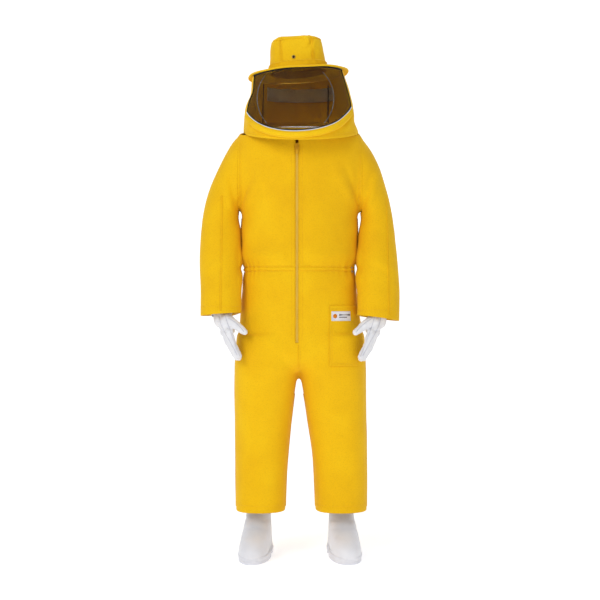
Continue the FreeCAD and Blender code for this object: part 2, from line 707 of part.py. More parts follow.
def make_gloves():
    """Leather hand, elastic-topped gauntlet and its band, drawn off along the forearm."""
    hand = wrist.multiply(Placement(Vector(0, 0, 0), Rotation(AXIS_Z, dim("hand_turn"))))

    def palm(inset, end_wall):
        sections = []
        for name in PALM:
            thick, wide = cell(name + "_thick"), cell(name + "_wide")
            thing = oval(f"{thick} - {inset}", f"{wide} - {inset}", Vector(0, 0, 0), "y")
            lift = end_wall if name == "webbing" else 0
            thing.Placement = on(hand, 0, 0, dim(f"{name}_z") + lift)
            sections.append(thing)
        return loft(sections)

    def digit(root, direction, length, base_r, tip_r, inset):
        """A tapered finger with a round tip, from its root along a direction of the hand."""
        turn = Rotation(AXIS_Z, direction)
        cone = doc.addObject("Part::Cone", "digit")
        bind(cone, Radius1=f"{base_r} - {inset}", Radius2=f"{tip_r} - {inset}", Height=length)
        cone.Placement = hand.multiply(Placement(root, turn))
        tip = doc.addObject("Part::Sphere", "tip")
        bind(tip, Radius=f"{tip_r} - {inset}")
        doc.recompute()
        far = root + direction * float(cone.Height)
        tip.Placement = hand.multiply(Placement(far, Rotation()))
        return fuse(cone, tip)

    splay = math.radians(dim("thumb_splay"))
    thumb_way = Vector(-math.sin(splay), 0, -math.cos(splay))

    def glove_solid(inset, end_wall):
        pieces = [palm(inset, end_wall)]
        for name in FINGERS:
            root = Vector(dim(f"{name}_offset"), 0, dim("webbing_z") + 10)
            length = f"{cell(name + '_length')} + 10 - dimensions.fingertip_r"
            pieces.append(
                digit(root, Vector(0, 0, -1), length, cell("finger_r"), cell("fingertip_r"), inset)
            )
        root = Vector(-26, 0, -22)
        pieces.append(
            digit(root, thumb_way, cell("thumb_length"), cell("thumb_r"), "dimensions.thumb_r - 2", inset)
        )
        return fuse(*pieces)

    both_sides("glove_hand", cut(glove_solid("0", 0), glove_solid(cell("glove_wall"), dim("glove_wall"))))
    tube = ring(cell("gauntlet_r"), "dimensions.gauntlet_r - 1.5", "dimensions.gauntlet_length", wrist)
    top = on(wrist, 0, 0, dim("gauntlet_length") - 14)
    hem = ring("dimensions.gauntlet_r + 1.8", "dimensions.gauntlet_r - 1.5", "12", top)
    both_sides("glove_gauntlet", fuse(tube, hem))


# ---------------------------------------------------------------- boots

ankle = Placement(Vector(dim("boot_x"), dim("boot_y"), 0), Rotation(AXIS_Z, dim("boot_yaw")))


def make_boots():
    """Rubber boots: outsole with heel, hollow upper with its shaft, and insole."""
    heel_r, heel_v = dim("heel_r"), dim("heel_v")
    toe_r, toe_v = dim("toe_r"), dim("toe_v")
    lean = math.asin((toe_r - heel_r) / (heel_v - toe_v))
    body = doc.addObject("PartDesign::Body", "boot_sole_body")
    sketch = body.newObject("Sketcher::SketchObject", "sole_outline")
    plane = [o for o in body.Origin.OriginFeatures if o.Role == "XY_Plane"][0]
    sketch.AttachmentSupport = (plane, [""])
    sketch.MapMode = "FlatFace"
    heel = Part.ArcOfCircle(Part.Circle(Vector(0, heel_v, 0), AXIS_Z, heel_r), -lean, math.pi + lean)
    toe = Part.ArcOfCircle(Part.Circle(Vector(0, toe_v, 0), AXIS_Z, toe_r), math.pi + lean, 2 * math.pi - lean)
    sketch.addGeometry([heel, toe], False)
    sketch.addGeometry(Part.LineSegment(toe.EndPoint, heel.StartPoint), False)
    sketch.addGeometry(Part.LineSegment(heel.EndPoint, toe.StartPoint), False)
    pad = body.newObject("PartDesign::Pad", "sole_pad")
    pad.Profile = sketch
    pad.setExpression("Length", "dimensions.tread + dimensions.midsole")
    body.Placement = ankle
    arch = block((-100, 100), (dim("arch_front"), dim("arch_back")), (-1, dim("tread")), ankle)
    both_sides("boot_sole", cut(body, arch))

    def upper_solid(inset):
        sections = []
        for name in BOOT:
            rx, ry = cell(name + "_rx"), cell(name + "_ry")
            thing = oval(f"{rx} - {inset}", f"{ry} - {inset}", Vector(0, 0, 0), "y")
            spot = Placement(Vector(0, dim(f"{name}_y"), dim(f"{name}_z")), Rotation(AXIS_Z, 90))
            thing.Placement = ankle.multiply(spot)
            sections.append(thing)
        return loft(sections)

    both_sides("boot_upper", cut(upper_solid("0"), upper_solid(cell("boot_wall"))))
    insole = []
    for z in (dim("foot_z"), dim("foot_z") + 4):
        thing = oval("dimensions.foot_rx - 6", "dimensions.foot_ry - 6", Vector(0, 0, 0), "y")
        thing.Placement = ankle.multiply(Placement(Vector(0, dim("foot_y"), z), Rotation(AXIS_Z, 90)))
        insole.append(thing)
    both_sides("boot_insole", loft(insole))


# ---------------------------------------------------------------- build, check and write

def check_and_export():
    """Stops on any failed object, then writes one STEP file for each sub-part."""
    doc.recompute()
    for thing in doc.Objects:
        if "Invalid" in thing.State or "Error" in thing.State:
            raise RuntimeError(f"{thing.Name} ({thing.Label}) failed: {thing.State}")
    os.makedirs("parts", exist_ok=True)
    for thing in parts:
        shape = thing.Shape
        if shape.isNull() or not shape.isValid() or not shape.Solids:
            raise RuntimeError(f"{thing.Label} has no valid solid")
        print(f"{thing.Label:24s} solids {len(shape.Solids):4d}  volume {shape.Volume / 1000:9.1f} cm3")
        shape.exportStep(f"parts/{thing.Label}.step")


make_bodice()
make_yoke()
make_trousers()
make_waist()
make_pocket()
make_main_zip()
make_neck_zip()
make_hood()
make_hat()
make_sleeves()
make_gloves()
make_boots()
check_and_export()
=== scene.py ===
"""Beekeeping suit: cloth, net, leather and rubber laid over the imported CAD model. All in metres."""
import math

import bmesh
import bpy
import numpy as np
from mathutils import Euler, Matrix, Vector, noise
from mathutils.bvhtree import BVHTree


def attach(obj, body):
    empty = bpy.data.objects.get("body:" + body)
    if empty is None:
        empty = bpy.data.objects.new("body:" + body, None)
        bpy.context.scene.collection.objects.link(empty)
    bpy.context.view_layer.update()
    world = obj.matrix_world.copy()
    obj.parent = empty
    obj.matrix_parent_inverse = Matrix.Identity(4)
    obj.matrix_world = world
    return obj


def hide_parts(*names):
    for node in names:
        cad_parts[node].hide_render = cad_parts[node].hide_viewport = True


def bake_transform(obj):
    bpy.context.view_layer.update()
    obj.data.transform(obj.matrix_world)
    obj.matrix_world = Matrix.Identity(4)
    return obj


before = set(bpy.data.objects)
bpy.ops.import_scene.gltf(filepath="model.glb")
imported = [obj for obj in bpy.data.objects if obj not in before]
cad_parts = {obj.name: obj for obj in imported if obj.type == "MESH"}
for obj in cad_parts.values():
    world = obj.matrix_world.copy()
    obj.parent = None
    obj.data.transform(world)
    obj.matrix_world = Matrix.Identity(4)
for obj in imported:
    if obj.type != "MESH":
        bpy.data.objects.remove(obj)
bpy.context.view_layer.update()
NODES = list(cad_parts)
TAU = 2 * math.pi
CLOTH = 0.004
LEFT, RIGHT = 1, -1                      # the wearer's left is +X
SIDE_NAME = {LEFT: "left", RIGHT: "right"}


def named(*starts, end=""):
    """CAD nodes whose names start and end so."""
    return [n for n in NODES if n.startswith(starts) and n.endswith(end)]


# ---------------------------------------------------------------- numbers and meshes

def curve(xs, ys, x):
    """A smooth line through the points (xs rising), read at x."""
    xs, ys = np.asarray(xs, float), np.asarray(ys, float)
    slope = np.gradient(ys, xs)
    x = np.clip(x, xs[0], xs[-1])
    i = np.clip(np.searchsorted(xs, x) - 1, 0, len(xs) - 2)
    h = xs[i + 1] - xs[i]
    t = (x - xs[i]) / h
    return (
        (2 * t**3 - 3 * t**2 + 1) * ys[i] + (t**3 - 2 * t**2 + t) * h * slope[i]
        + (3 * t**2 - 2 * t**3) * ys[i + 1] + (t**3 - t**2) * h * slope[i + 1]
    )


def ramp(x, low, high):
    t = np.clip((x - low) / (high - low), 0, 1)
    return t * t * (3 - 2 * t)


def oval(centre, rx, ry, count=96, power=2.0, slope=0.0):
    """A ring of points, squarer as the power grows, whose height rises with y by the slope."""
    a = np.linspace(0, TAU, count, endpoint=False)
    c, s = np.cos(a), np.sin(a)
    x = rx * np.sign(c) * np.abs(c) ** (2 / power)
    y = ry * np.sign(s) * np.abs(s) ** (2 / power)
    return np.stack([centre[0] + x, centre[1] + y, centre[2] + slope * y], axis=1)


def tube_faces(rows, count, closed=True, start=0):
    faces = []
    wide = count if closed else count - 1
    for r in range(rows - 1):
        for k in range(wide):
            a, b = start + r * count + k, start + r * count + (k + 1) % count
            faces.append((a, b, b + count, a + count))
    return faces


def new_object(name, verts, faces, material=None, smooth=True):
    mesh = bpy.data.meshes.new(name)
    mesh.from_pydata([tuple(map(float, v)) for v in verts], [], faces)
    mesh.update()
    if smooth:
        mesh.shade_smooth()
    if material:
        mesh.materials.append(material)
    obj = bpy.data.objects.new(name, mesh)
    bpy.context.scene.collection.objects.link(obj)
    return obj


def solid_loft(rings):
    """Vertices and faces of a closed tube through rings of equal count."""
    count = len(rings[0])
    verts = np.concatenate(rings)
    faces = tube_faces(len(rings), count)
    faces.append(tuple(range(count))[::-1])
    faces.append(tuple(range(len(verts) - count, len(verts))))
    return verts, faces


def join(parts):
    """One vertex array and face list out of several."""
    verts, faces, base = [], [], 0
    for v, f in parts:
        verts.append(np.asarray(v, float))
        faces += [tuple(i + base for i in face) for face in f]
        base += len(v)
    return np.concatenate(verts), faces


def apply_modifiers(obj):
    graph = bpy.context.evaluated_depsgraph_get()
    mesh = bpy.data.meshes.new_from_object(obj.evaluated_get(graph))
    obj.modifiers.clear()
    old, obj.data = obj.data, mesh
    bpy.data.meshes.remove(old)
    mesh.shade_smooth()


def remesh(obj, voxel, rounds):
    step = obj.modifiers.new("remesh", "REMESH")
    step.mode, step.voxel_size, step.use_smooth_shade = "VOXEL", voxel, True
    if rounds:
        step = obj.modifiers.new("smooth", "SMOOTH")
        step.factor, step.iterations = 0.5, rounds
    apply_modifiers(obj)


def solidify(obj, wall, offset=-1.0):
    step = obj.modifiers.new("wall", "SOLIDIFY")
    step.thickness, step.offset, step.use_even_offset = wall, offset, False
    apply_modifiers(obj)


def subdivide(obj, levels=1):
    step = obj.modifiers.new("subsurf", "SUBSURF")
    step.levels = step.render_levels = levels
    apply_modifiers(obj)


def points_of(obj):
    co = np.empty(len(obj.data.vertices) * 3)
    obj.data.vertices.foreach_get("co", co)
    return co.reshape(-1, 3)


def normals_of(obj):
    no = np.empty(len(obj.data.vertices) * 3)
    obj.data.vertices.foreach_get("normal", no)
    return no.reshape(-1, 3)


def put_points(obj, co):
    obj.data.vertices.foreach_set("co", np.ascontiguousarray(co, float).ravel())
    obj.data.update()


def rolling_noise(points, scale, seed=0.0):
    """Soft noise, -1 to 1, with bumps about the scale wide (one number or one for each axis)."""
    stretch = Vector((scale,) * 3 if isinstance(scale, float) else scale)
    shift = Vector((seed, seed * 1.7, seed * 0.6))
    out = np.empty(len(points))
    for i, p in enumerate(points):
        q = Vector((p[0] / stretch.x, p[1] / stretch.y, p[2] / stretch.z)) + shift
        out[i] = noise.noise(q)
    return out


def fold(points, a, b, width, height, face=0):
    """Height of a soft ridge along the line a-b in the x-z view; face is -1 front, 1 back, 0 both."""
    a, b = np.array(a), np.array(b)
    flat = points[:, [0, 2]]
    line = b - a
    t = np.clip(((flat - a) @ line) / (line @ line), 0, 1)
    gap = np.linalg.norm(flat - (a + t[:, None] * line), axis=1)
    taper = np.sin(np.pi * np.clip(t * 0.9 + 0.05, 0, 1)) ** 0.6
    out = height * taper * np.exp(-((gap / width) ** 2))
    if face:
        out = out * ramp(face * (points[:, 1] - 0.02), -0.01, 0.03)
    return out


def swept(path, radius, sides=8, closed=False, up=None):
    """A round tube along a path; the radius is one number or one for each point."""
    path = np.asarray(path, float)
    count = len(path)
    if count < 2:
        return np.zeros((0, 3)), []
    radius = np.broadcast_to(np.asarray(radius, float), (count,))
    if closed:
        ahead = np.roll(path, -1, 0) - np.roll(path, 1, 0)
    else:
        ahead = np.gradient(path, axis=0)
    ahead /= np.linalg.norm(ahead, axis=1)[:, None] + 1e-12
    side = np.array([0.0, 0.0, 1.0]) if up is None else np.asarray(up, float)
    if abs(ahead[0] @ side) > 0.9:
        side = np.array([1.0, 0.0, 0.0])
    rows = []
    for k in range(count):
        side = side - ahead[k] * (side @ ahead[k])
        side /= np.linalg.norm(side) + 1e-12
        other = np.cross(ahead[k], side)
        a = np.linspace(0, TAU, sides, endpoint=False)
        rows.append(path[k] + radius[k] * (np.cos(a)[:, None] * side + np.sin(a)[:, None] * other))
    verts = np.concatenate(rows)
    faces = tube_faces(count, sides)
    if closed:
        last = (count - 1) * sides
        faces += [(last + k, last + (k + 1) % sides, (k + 1) % sides, k) for k in range(sides)]
    else:
        faces.append(tuple(range(sides))[::-1])
        faces.append(tuple(range(len(verts) - sides, len(verts))))
    return verts, faces


def resample(path, step, closed=False):
    path = np.asarray(path, float)
    if closed:
        path = np.vstack([path, path[:1]])
    run = np.concatenate([[0], np.cumsum(np.linalg.norm(np.diff(path, axis=0), axis=1))])
    count = max(2, int(round(run[-1] / step)) + 1)
    at = np.linspace(0, run[-1], count)
    out = np.stack([np.interp(at, run, path[:, k]) for k in range(3)], axis=1)
    return out[:-1] if closed else out


def stitches(path, length=0.0030, pitch=0.0042, radius=0.00055):
    """A row of short raised threads along a path that lies on the cloth."""
    if len(path) < 2:
        return np.zeros((0, 3)), []
    line = resample(path, pitch / 4)
    parts = []
    for k in range(0, len(line) - 4, 4):
        a, b = line[k], line[k + 3]
        parts.append(swept([a, (a + b) / 2, b], [radius * 0.5, radius, radius * 0.5], 5))
    return join(parts)


class Skin:
    """Finds the outside of a piece by rays, to lay seams and patches on it."""

    def __init__(self, obj):
        graph = bpy.context.evaluated_depsgraph_get()
        self.tree = BVHTree.FromObject(obj, graph)

    def along(self, start, direction, lift=0.0):
        hit, normal, _, _ = self.tree.ray_cast(Vector(start), Vector(direction))
        if hit is None:
            return None
        if normal.dot(Vector(direction)) > 0:
            normal = -normal
        return np.array(hit + normal * lift)

    def front(self, x, z, lift=0.0):
        return self.along((x, -1, z), (0, 1, 0), lift)

    def back(self, x, z, lift=0.0):
        return self.along((x, 1, z), (0, -1, 0), lift)

    def round(self, angle, centre, lift=0.0):
        far = (centre[0] + math.cos(angle), centre[1] + math.sin(angle), centre[2])
        return self.along(far, (-math.cos(angle), -math.sin(angle), 0), lift)


def keep(points):
    return [p for p in points if p is not None]


def piece(obj, body, replaces=()):
    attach(obj, body)
    if replaces:
        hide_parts(*replaces)
    return obj


# ---------------------------------------------------------------- materials

class Nodes:
    """Short calls for building one node material."""

    def __init__(self, name, roughness, sheen=0.0, **sockets):
        self.material = bpy.data.materials.new(name)
        self.material.use_nodes = True
        self.tree = self.material.node_tree
        self.shader = self.tree.nodes["Principled BSDF"]
        self.shader.inputs["Roughness"].default_value = roughness
        self.shader.inputs["Sheen Weight"].default_value = sheen
        for key, value in sockets.items():
            self.shader.inputs[key.replace("_", " ")].default_value = value
        self.place = self.add("ShaderNodeTexCoord").outputs["Object"]

    def add(self, kind, **settings):
        node = self.tree.nodes.new(kind)
        for key, value in settings.items():
            setattr(node, key, value)
        return node

    def link(self, a, b):
        self.tree.links.new(a, b)

    def noise(self, scale, detail=3.0, rough=0.55, stretch=None):
        node = self.add("ShaderNodeTexNoise")
        node.inputs["Scale"].default_value = scale
        node.inputs["Detail"].default_value = detail
        node.inputs["Roughness"].default_value = rough
        self.link(self.moved(stretch), node.inputs["Vector"])
        return node.outputs["Fac"]

    def moved(self, stretch=None, turn=None):
        if not stretch and not turn:
            return self.place
        node = self.add("ShaderNodeMapping")
        node.inputs["Scale"].default_value = stretch or (1, 1, 1)
        node.inputs["Rotation"].default_value = turn or (0, 0, 0)
        self.link(self.place, node.inputs["Vector"])
        return node.outputs["Vector"]

    def cells(self, scale, feature="F1", stretch=None, turn=None):
        node = self.add("ShaderNodeTexVoronoi", feature=feature)
        node.inputs["Scale"].default_value = scale
        self.link(self.moved(stretch, turn), node.inputs["Vector"])
        return node.outputs["Distance"]

    def waves(self, scale, direction, turn=None, distortion=0.0):
        node = self.add("ShaderNodeTexWave", bands_direction=direction)
        node.inputs["Scale"].default_value = scale
        node.inputs["Distortion"].default_value = distortion
        self.link(self.moved(None, turn), node.inputs["Vector"])
        return node.outputs["Fac"]

    def math(self, operation, a, b=0.5):
        node = self.add("ShaderNodeMath", operation=operation)
        for socket, value in zip(node.inputs, (a, b)):
            if isinstance(value, (int, float)):
                socket.default_value = value
            else:
                self.link(value, socket)
        return node.outputs[0]

    def colours(self, factor, *stops):
        node = self.add("ShaderNodeValToRGB")
        ramp_ = node.color_ramp
        for k, (at, colour) in enumerate(stops):
            stop = ramp_.elements[k] if k < 2 else ramp_.elements.new(at)
            stop.position, stop.color = at, (*colour, 1)
        self.link(factor, node.inputs["Fac"])
        return node.outputs["Color"]

    def blend(self, factor, a, b, mode="MIX"):
        node = self.add("ShaderNodeMix", data_type="RGBA", blend_type=mode)
        for socket, value in ((node.inputs[0], factor), (node.inputs[6], a), (node.inputs[7], b)):
            if isinstance(value, (int, float)):
                socket.default_value = value
            elif isinstance(value, tuple):
                socket.default_value = (*value, 1)
            else:
                self.link(value, socket)
        return node.outputs[2]

    def colour(self, value):
        self.link(value, self.shader.inputs["Base Color"])

    def roughness(self, factor, low, high):
        node = self.add("ShaderNodeMapRange")
        node.inputs["To Min"].default_value = low
        node.inputs["To Max"].default_value = high
        self.link(factor, node.inputs["Value"])
        self.link(node.outputs[0], self.shader.inputs["Roughness"])

    def bump(self, *layers):
        """Layers of (height socket, distance in metres)."""
        last = None
        for height, distance in layers:
            node = self.add("ShaderNodeBump")
            node.inputs["Strength"].default_value = 1.0
            node.inputs["Distance"].default_value = distance
            self.link(height, node.inputs["Height"])
            if last:
                self.link(last, node.inputs["Normal"])
            last = node.outputs["Normal"]
        self.link(last, self.shader.inputs["Normal"])


def rgb(r, g, b):
    """Scene colour from the usual 0-255 numbers."""
    def linear(c):
        c /= 255
        return c / 12.92 if c <= 0.04045 else ((c + 0.055) / 1.055) ** 2.4
    return tuple(linear(c) for c in (r, g, b))


def spacer_fabric(name, deep, mid, pale, dimple=0.00045):
    """Thick knitted spacer cloth: small dimples in slanting rows with painted shade in their pits, fibres
    between, worn patches.
    """
    m = Nodes(name, 0.82, 0.18, Specular_IOR_Level=0.22)
    m.shader.inputs["Sheen Tint"].default_value = (*rgb(255, 226, 120), 1)
    holes = m.cells(250, "SMOOTH_F1", stretch=(1.0, 1.0, 1.35), turn=(0.0, 0.6, 0.35))
    wide = m.noise(7.0, 4.0)
    fibres = m.noise(900, 2.0, 0.7)
    worn = m.noise(38, 5.0, 0.62)
    base = m.colours(wide, (0.30, deep), (0.52, mid), (0.74, pale))
    # painted shade: the colour darkens towards the middle of each dimple, where the bump sinks into a pit
    pit_shade = m.colours(holes, (0.05, (0.80, 0.76, 0.62)), (0.42, (1.0, 1.0, 1.0)))
    base = m.blend(0.75, base, pit_shade, "MULTIPLY")
    base = m.blend(m.math("MULTIPLY", fibres, 0.30), base, pale)
    base = m.blend(m.math("MULTIPLY", worn, 0.16), base, deep)
    m.colour(base)
    m.roughness(fibres, 0.70, 0.95)
    m.bump((holes, dimple), (fibres, 0.00018), (worn, 0.0006))
    return m.material


def plain_weave(name, colour_a, colour_b, scale=1500, roughness=0.85, sheen=0.1, bump=0.0002):
    m = Nodes(name, roughness, sheen, Specular_IOR_Level=0.25)
    warp = m.waves(scale / 6.28, "X", distortion=0.4)
    weft = m.waves(scale / 6.28, "Z", distortion=0.4)
    thread = m.math("MAXIMUM", warp, weft)
    tone = m.noise(30, 4.0)
    base = m.colours(tone, (0.3, colour_a), (0.7, colour_b))
    m.colour(m.blend(m.math("MULTIPLY", thread, 0.22), base, colour_a, "MULTIPLY"))
    m.roughness(thread, roughness - 0.12, min(1.0, roughness + 0.1))
    m.bump((thread, bump))
    return m.material


def leather(name):
    m = Nodes(name, 0.62, 0.08, Specular_IOR_Level=0.3)
    grain = m.cells(1100, "DISTANCE_TO_EDGE")
    creases = m.noise(75, 6.0, 0.66, stretch=(1.3, 1.3, 0.55))
    tone = m.noise(22, 3.0)
    base = m.colours(tone, (0.25, rgb(222, 223, 228)), (0.75, rgb(243, 243, 245)))
    m.colour(m.blend(m.math("MULTIPLY", creases, 0.30), base, rgb(196, 196, 204)))
    m.roughness(creases, 0.5, 0.8)
    m.bump((grain, 0.00018), (creases, 0.0016))
    return m.material


def rubber(name, low, high, roughness):
    m = Nodes(name, roughness, 0.0, Specular_IOR_Level=0.45)
    tone = m.noise(9, 4.0)
    grit = m.noise(650, 3.0, 0.7)
    scuffs = m.noise(60, 5.0, 0.7, stretch=(1, 1, 0.4))
    base = m.colours(tone, (0.3, low), (0.7, high))
    m.colour(m.blend(m.math("MULTIPLY", scuffs, 0.14), base, rgb(188, 188, 196)))
    m.roughness(scuffs, roughness - 0.12, roughness + 0.18)
    m.bump((grit, 0.00012), (scuffs, 0.0004))
    return m.material


def net(name, colour, scale, cover, roughness=0.7):
    """Knotted net: threads round open cells that light passes through."""
    m = Nodes(name, roughness, 0.0, Specular_IOR_Level=0.2)
    edge = m.cells(scale, "DISTANCE_TO_EDGE")
    thread = m.math("LESS_THAN", edge, cover)
    tone = m.noise(18, 3.0)
    m.colour(m.colours(tone, (0.3, tuple(c * 0.75 for c in colour)), (0.7, colour)))
    m.link(thread, m.shader.inputs["Alpha"])
    m.bump((edge, 0.0002))
    return m.material


def metal(name, colour, roughness, metallic=1.0):
    m = Nodes(name, roughness, 0.0, Metallic=metallic)
    brushed = m.noise(420, 3.0, 0.6, stretch=(1, 1, 6))
    tone = m.noise(60, 4.0)
    m.colour(m.colours(tone, (0.3, tuple(c * 0.82 for c in colour)), (0.7, colour)))
    m.roughness(brushed, roughness - 0.08, roughness + 0.14)
    m.bump((brushed, 0.00008))
    return m.material


def ribbed(name, trough_shade_and_fibres, light, scale, direction="X"):
    m = Nodes(name, 0.85, 0.15, Specular_IOR_Level=0.2)
    rib = m.waves(scale, direction, distortion=0.3)
    fibres = m.noise(800, 3.0, 0.7)
    # painted shade: the colour darkens in the troughs of the ribs, where the bump is lowest; the fibres also
    # darken it at random
    m.colour(m.blend(m.math("MULTIPLY", fibres, 0.3), m.colours(rib, (0.1, trough_shade_and_fibres), (0.8, light)), trough_shade_and_fibres))
    m.roughness(fibres, 0.75, 0.98)
    m.bump((rib, 0.0007), (fibres, 0.0002))
    return m.material


YELLOW_DEEP, YELLOW, YELLOW_PALE = rgb(231, 176, 0), rgb(239, 187, 1), rgb(244, 196, 8)
SUIT = spacer_fabric("suit_spacer", YELLOW_DEEP, YELLOW, YELLOW_PALE)
HOOD = spacer_fabric("hood_spacer", rgb(232, 178, 2), rgb(240, 190, 4), rgb(246, 200, 14), 0.00035)
HAT_CLOTH = spacer_fabric("hat_cloth", rgb(230, 180, 4), rgb(240, 192, 8), rgb(247, 204, 22), 0.00028)
RIM = spacer_fabric("rim_cloth", rgb(232, 180, 2), rgb(242, 194, 6), rgb(248, 205, 18), 0.0003)
TRIM = plain_weave("trim_cloth", rgb(218, 164, 2), rgb(240, 190, 6))
THREAD = plain_weave("thread", rgb(232, 184, 14), rgb(248, 208, 36), scale=4000, bump=0.0001)
TAPE = plain_weave("zip_tape_weave", rgb(230, 182, 18), rgb(244, 198, 38), scale=2600)
TEETH = rubber("zip_plastic", rgb(240, 194, 36), rgb(250, 208, 60), 0.4)
ENAMEL = metal("slider_enamel", rgb(232, 176, 20), 0.38, 0.35)
WIRE = metal("spring_wire", rgb(214, 214, 210), 0.3)
BRASS = metal("eyelet_brass", rgb(196, 168, 96), 0.35)
VEIL = net("veil_net", rgb(14, 12, 12), 640, 0.060)
VENT = net("vent_net", rgb(236, 232, 214), 520, 0.40, 0.85)
BINDING = plain_weave("black_binding", rgb(12, 11, 12), rgb(26, 24, 26))
PIPING = plain_weave("white_piping", rgb(214, 220, 236), rgb(238, 240, 250))
LABEL = plain_weave("label_satin", rgb(226, 228, 238), rgb(244, 245, 250), scale=5200, roughness=0.6)
AMBER = plain_weave("label_amber", rgb(222, 128, 14), rgb(240, 150, 30), scale=5200)
GREY = plain_weave("label_grey", rgb(120, 118, 124), rgb(146, 144, 150), scale=5200)
GLOVE = leather("glove_leather")
SEAM = plain_weave("glove_thread", rgb(196, 196, 206), rgb(224, 224, 230), scale=4200)
BOOT = rubber("boot_rubber", rgb(222, 223, 229), rgb(240, 240, 245), 0.46)
SOLE = rubber("sole_rubber", rgb(214, 215, 222), rgb(234, 234, 240), 0.6)
KNIT = ribbed("cuff_knit", rgb(190, 138, 0), rgb(236, 186, 10), 110)
ELASTIC = ribbed("elastic_web", rgb(190, 184, 160), rgb(228, 222, 200), 160, "Z")
COTTON = plain_weave("sweatband_cotton", rgb(196, 150, 30), rgb(220, 176, 50))
FELT = plain_weave("insole_felt", rgb(180, 180, 178), rgb(206, 206, 204))

# ---------------------------------------------------------------- the coverall's outside

# height, reach to the wearer's right, reach to the left, front, back, squareness
TORSO = np.array([
    (0.630, 0.110, 0.110, -0.060, 0.100, 2.2),
    (0.655, 0.180, 0.182, -0.098, 0.132, 2.3),
    (0.690, 0.210, 0.213, -0.110, 0.145, 2.4),
    (0.760, 0.207, 0.209, -0.113, 0.150, 2.3),
    (0.830, 0.203, 0.200, -0.113, 0.152, 2.2),
    (0.900, 0.196, 0.192, -0.113, 0.150, 2.2),
    (0.950, 0.190, 0.185, -0.112, 0.143, 2.2),
    (0.972, 0.186, 0.179, -0.110, 0.140, 2.2),
    (0.995, 0.193, 0.187, -0.112, 0.146, 2.25),
    (1.040, 0.1955, 0.191, -0.114, 0.158, 2.3),
    (1.100, 0.1975, 0.194, -0.114, 0.172, 2.3),
    (1.160, 0.199, 0.197, -0.113, 0.182, 2.3),
    (1.250, 0.224, 0.222, -0.112, 0.188, 2.35),
    (1.330, 0.236, 0.236, -0.111, 0.184, 2.4),
    (1.390, 0.226, 0.226, -0.108, 0.166, 2.35),
    (1.425, 0.205, 0.205, -0.104, 0.152, 2.3),
    (1.465, 0.165, 0.165, -0.098, 0.140, 2.2),
])
# height, outer edge, inner edge, centre y, half depth
SLEEVE = {
    RIGHT: np.array([
        (1.436, 0.197, 0.060, 0.034, 0.060),
        (1.412, 0.223, 0.066, 0.034, 0.086),
        (1.367, 0.254, 0.086, 0.034, 0.096),
        (1.306, 0.285, 0.112, 0.034, 0.094),
        (1.244, 0.309, 0.150, 0.034, 0.088),
        (1.176, 0.326, 0.203, 0.024, 0.082),
        (1.090, 0.336, 0.206, 0.006, 0.078),
        (1.005, 0.3390, 0.203, -0.016, 0.076),
        (0.902, 0.3335, 0.199, -0.046, 0.075),
        (0.805, 0.3330, 0.194, -0.070, 0.074),
    ]),
    LEFT: np.array([
        (1.439, 0.196, 0.060, 0.034, 0.060),
        (1.412, 0.218, 0.066, 0.034, 0.086),
        (1.372, 0.246, 0.084, 0.034, 0.095),
        (1.330, 0.268, 0.104, 0.034, 0.095),
        (1.244, 0.296, 0.150, 0.034, 0.088),
        (1.170, 0.311, 0.203, 0.024, 0.082),
        (1.073, 0.3225, 0.202, 0.004, 0.078),
        (0.971, 0.3295, 0.196, -0.026, 0.076),
        (0.868, 0.3325, 0.192, -0.054, 0.075),
        (0.785, 0.3300, 0.187, -0.072, 0.074),
    ]),
}
# height, outer edge, inner edge, centre y, half depth
LEG = {
    RIGHT: np.array([
        (0.145, 0.2190, 0.0500, 0.038, 0.107),
        (0.220, 0.2200, 0.0480, 0.036, 0.109),
        (0.349, 0.2210, 0.0400, 0.033, 0.112),
        (0.459, 0.2215, 0.0300, 0.030, 0.115),
        (0.568, 0.2215, 0.0150, 0.024, 0.120),
        (0.625, 0.2210, 0.0040, 0.019, 0.124),
        (0.690, 0.2190, -0.020, 0.017, 0.127),
        (0.760, 0.2140, -0.050, 0.018, 0.128),
    ]),
    LEFT: np.array([
        (0.145, 0.2280, 0.0540, 0.038, 0.107),
        (0.220, 0.2275, 0.0510, 0.036, 0.109),
        (0.349, 0.2270, 0.0420, 0.033, 0.112),
        (0.459, 0.2260, 0.0270, 0.030, 0.115),
        (0.568, 0.2245, 0.0085, 0.024, 0.120),
        (0.625, 0.2240, -0.004, 0.019, 0.124),
        (0.690, 0.2210, -0.030, 0.017, 0.127),
        (0.760, 0.2160, -0.060, 0.018, 0.128),
    ]),
}
ARMHOLE = 0.2085
ARMPIT = 1.163
WAIST = 0.972
HEM = 0.155
ZIP_X = -0.010
CUFF = {
    RIGHT: (Vector((-0.2625, -0.070, 0.8205)), Vector((0.072, -0.050, -1)).normalized()),
    LEFT: (Vector((0.2560, -0.072, 0.8085)), Vector((-0.130, -0.050, -1)).normalized()),
}
SHOULDERS = 1.175                        # above this both skins hold the torso
ZIP_LOW, ZIP_HALF = 0.7265, 0.0052       # foot and half width of the zip's slot
NECK_AT = Vector((0, 0.023, 1.441))
NECK_UP = Vector((0, -math.sin(math.radians(12)), math.cos(math.radians(12))))


def torso_rings():
    rings = []
    for z in np.arange(0.630, 1.466, 0.0155):
        right, left, front, back, power = (curve(TORSO[:, 0], TORSO[:, k], z) for k in range(1, 6))
        tilt = -0.21 * float(ramp(z, 1.30, 1.42))
        ring = oval(((left - right) / 2, (front + back) / 2, z), (left + right) / 2,
                    (back - front) / 2, 128, power, tilt)
        rings.append(ring)
    return rings


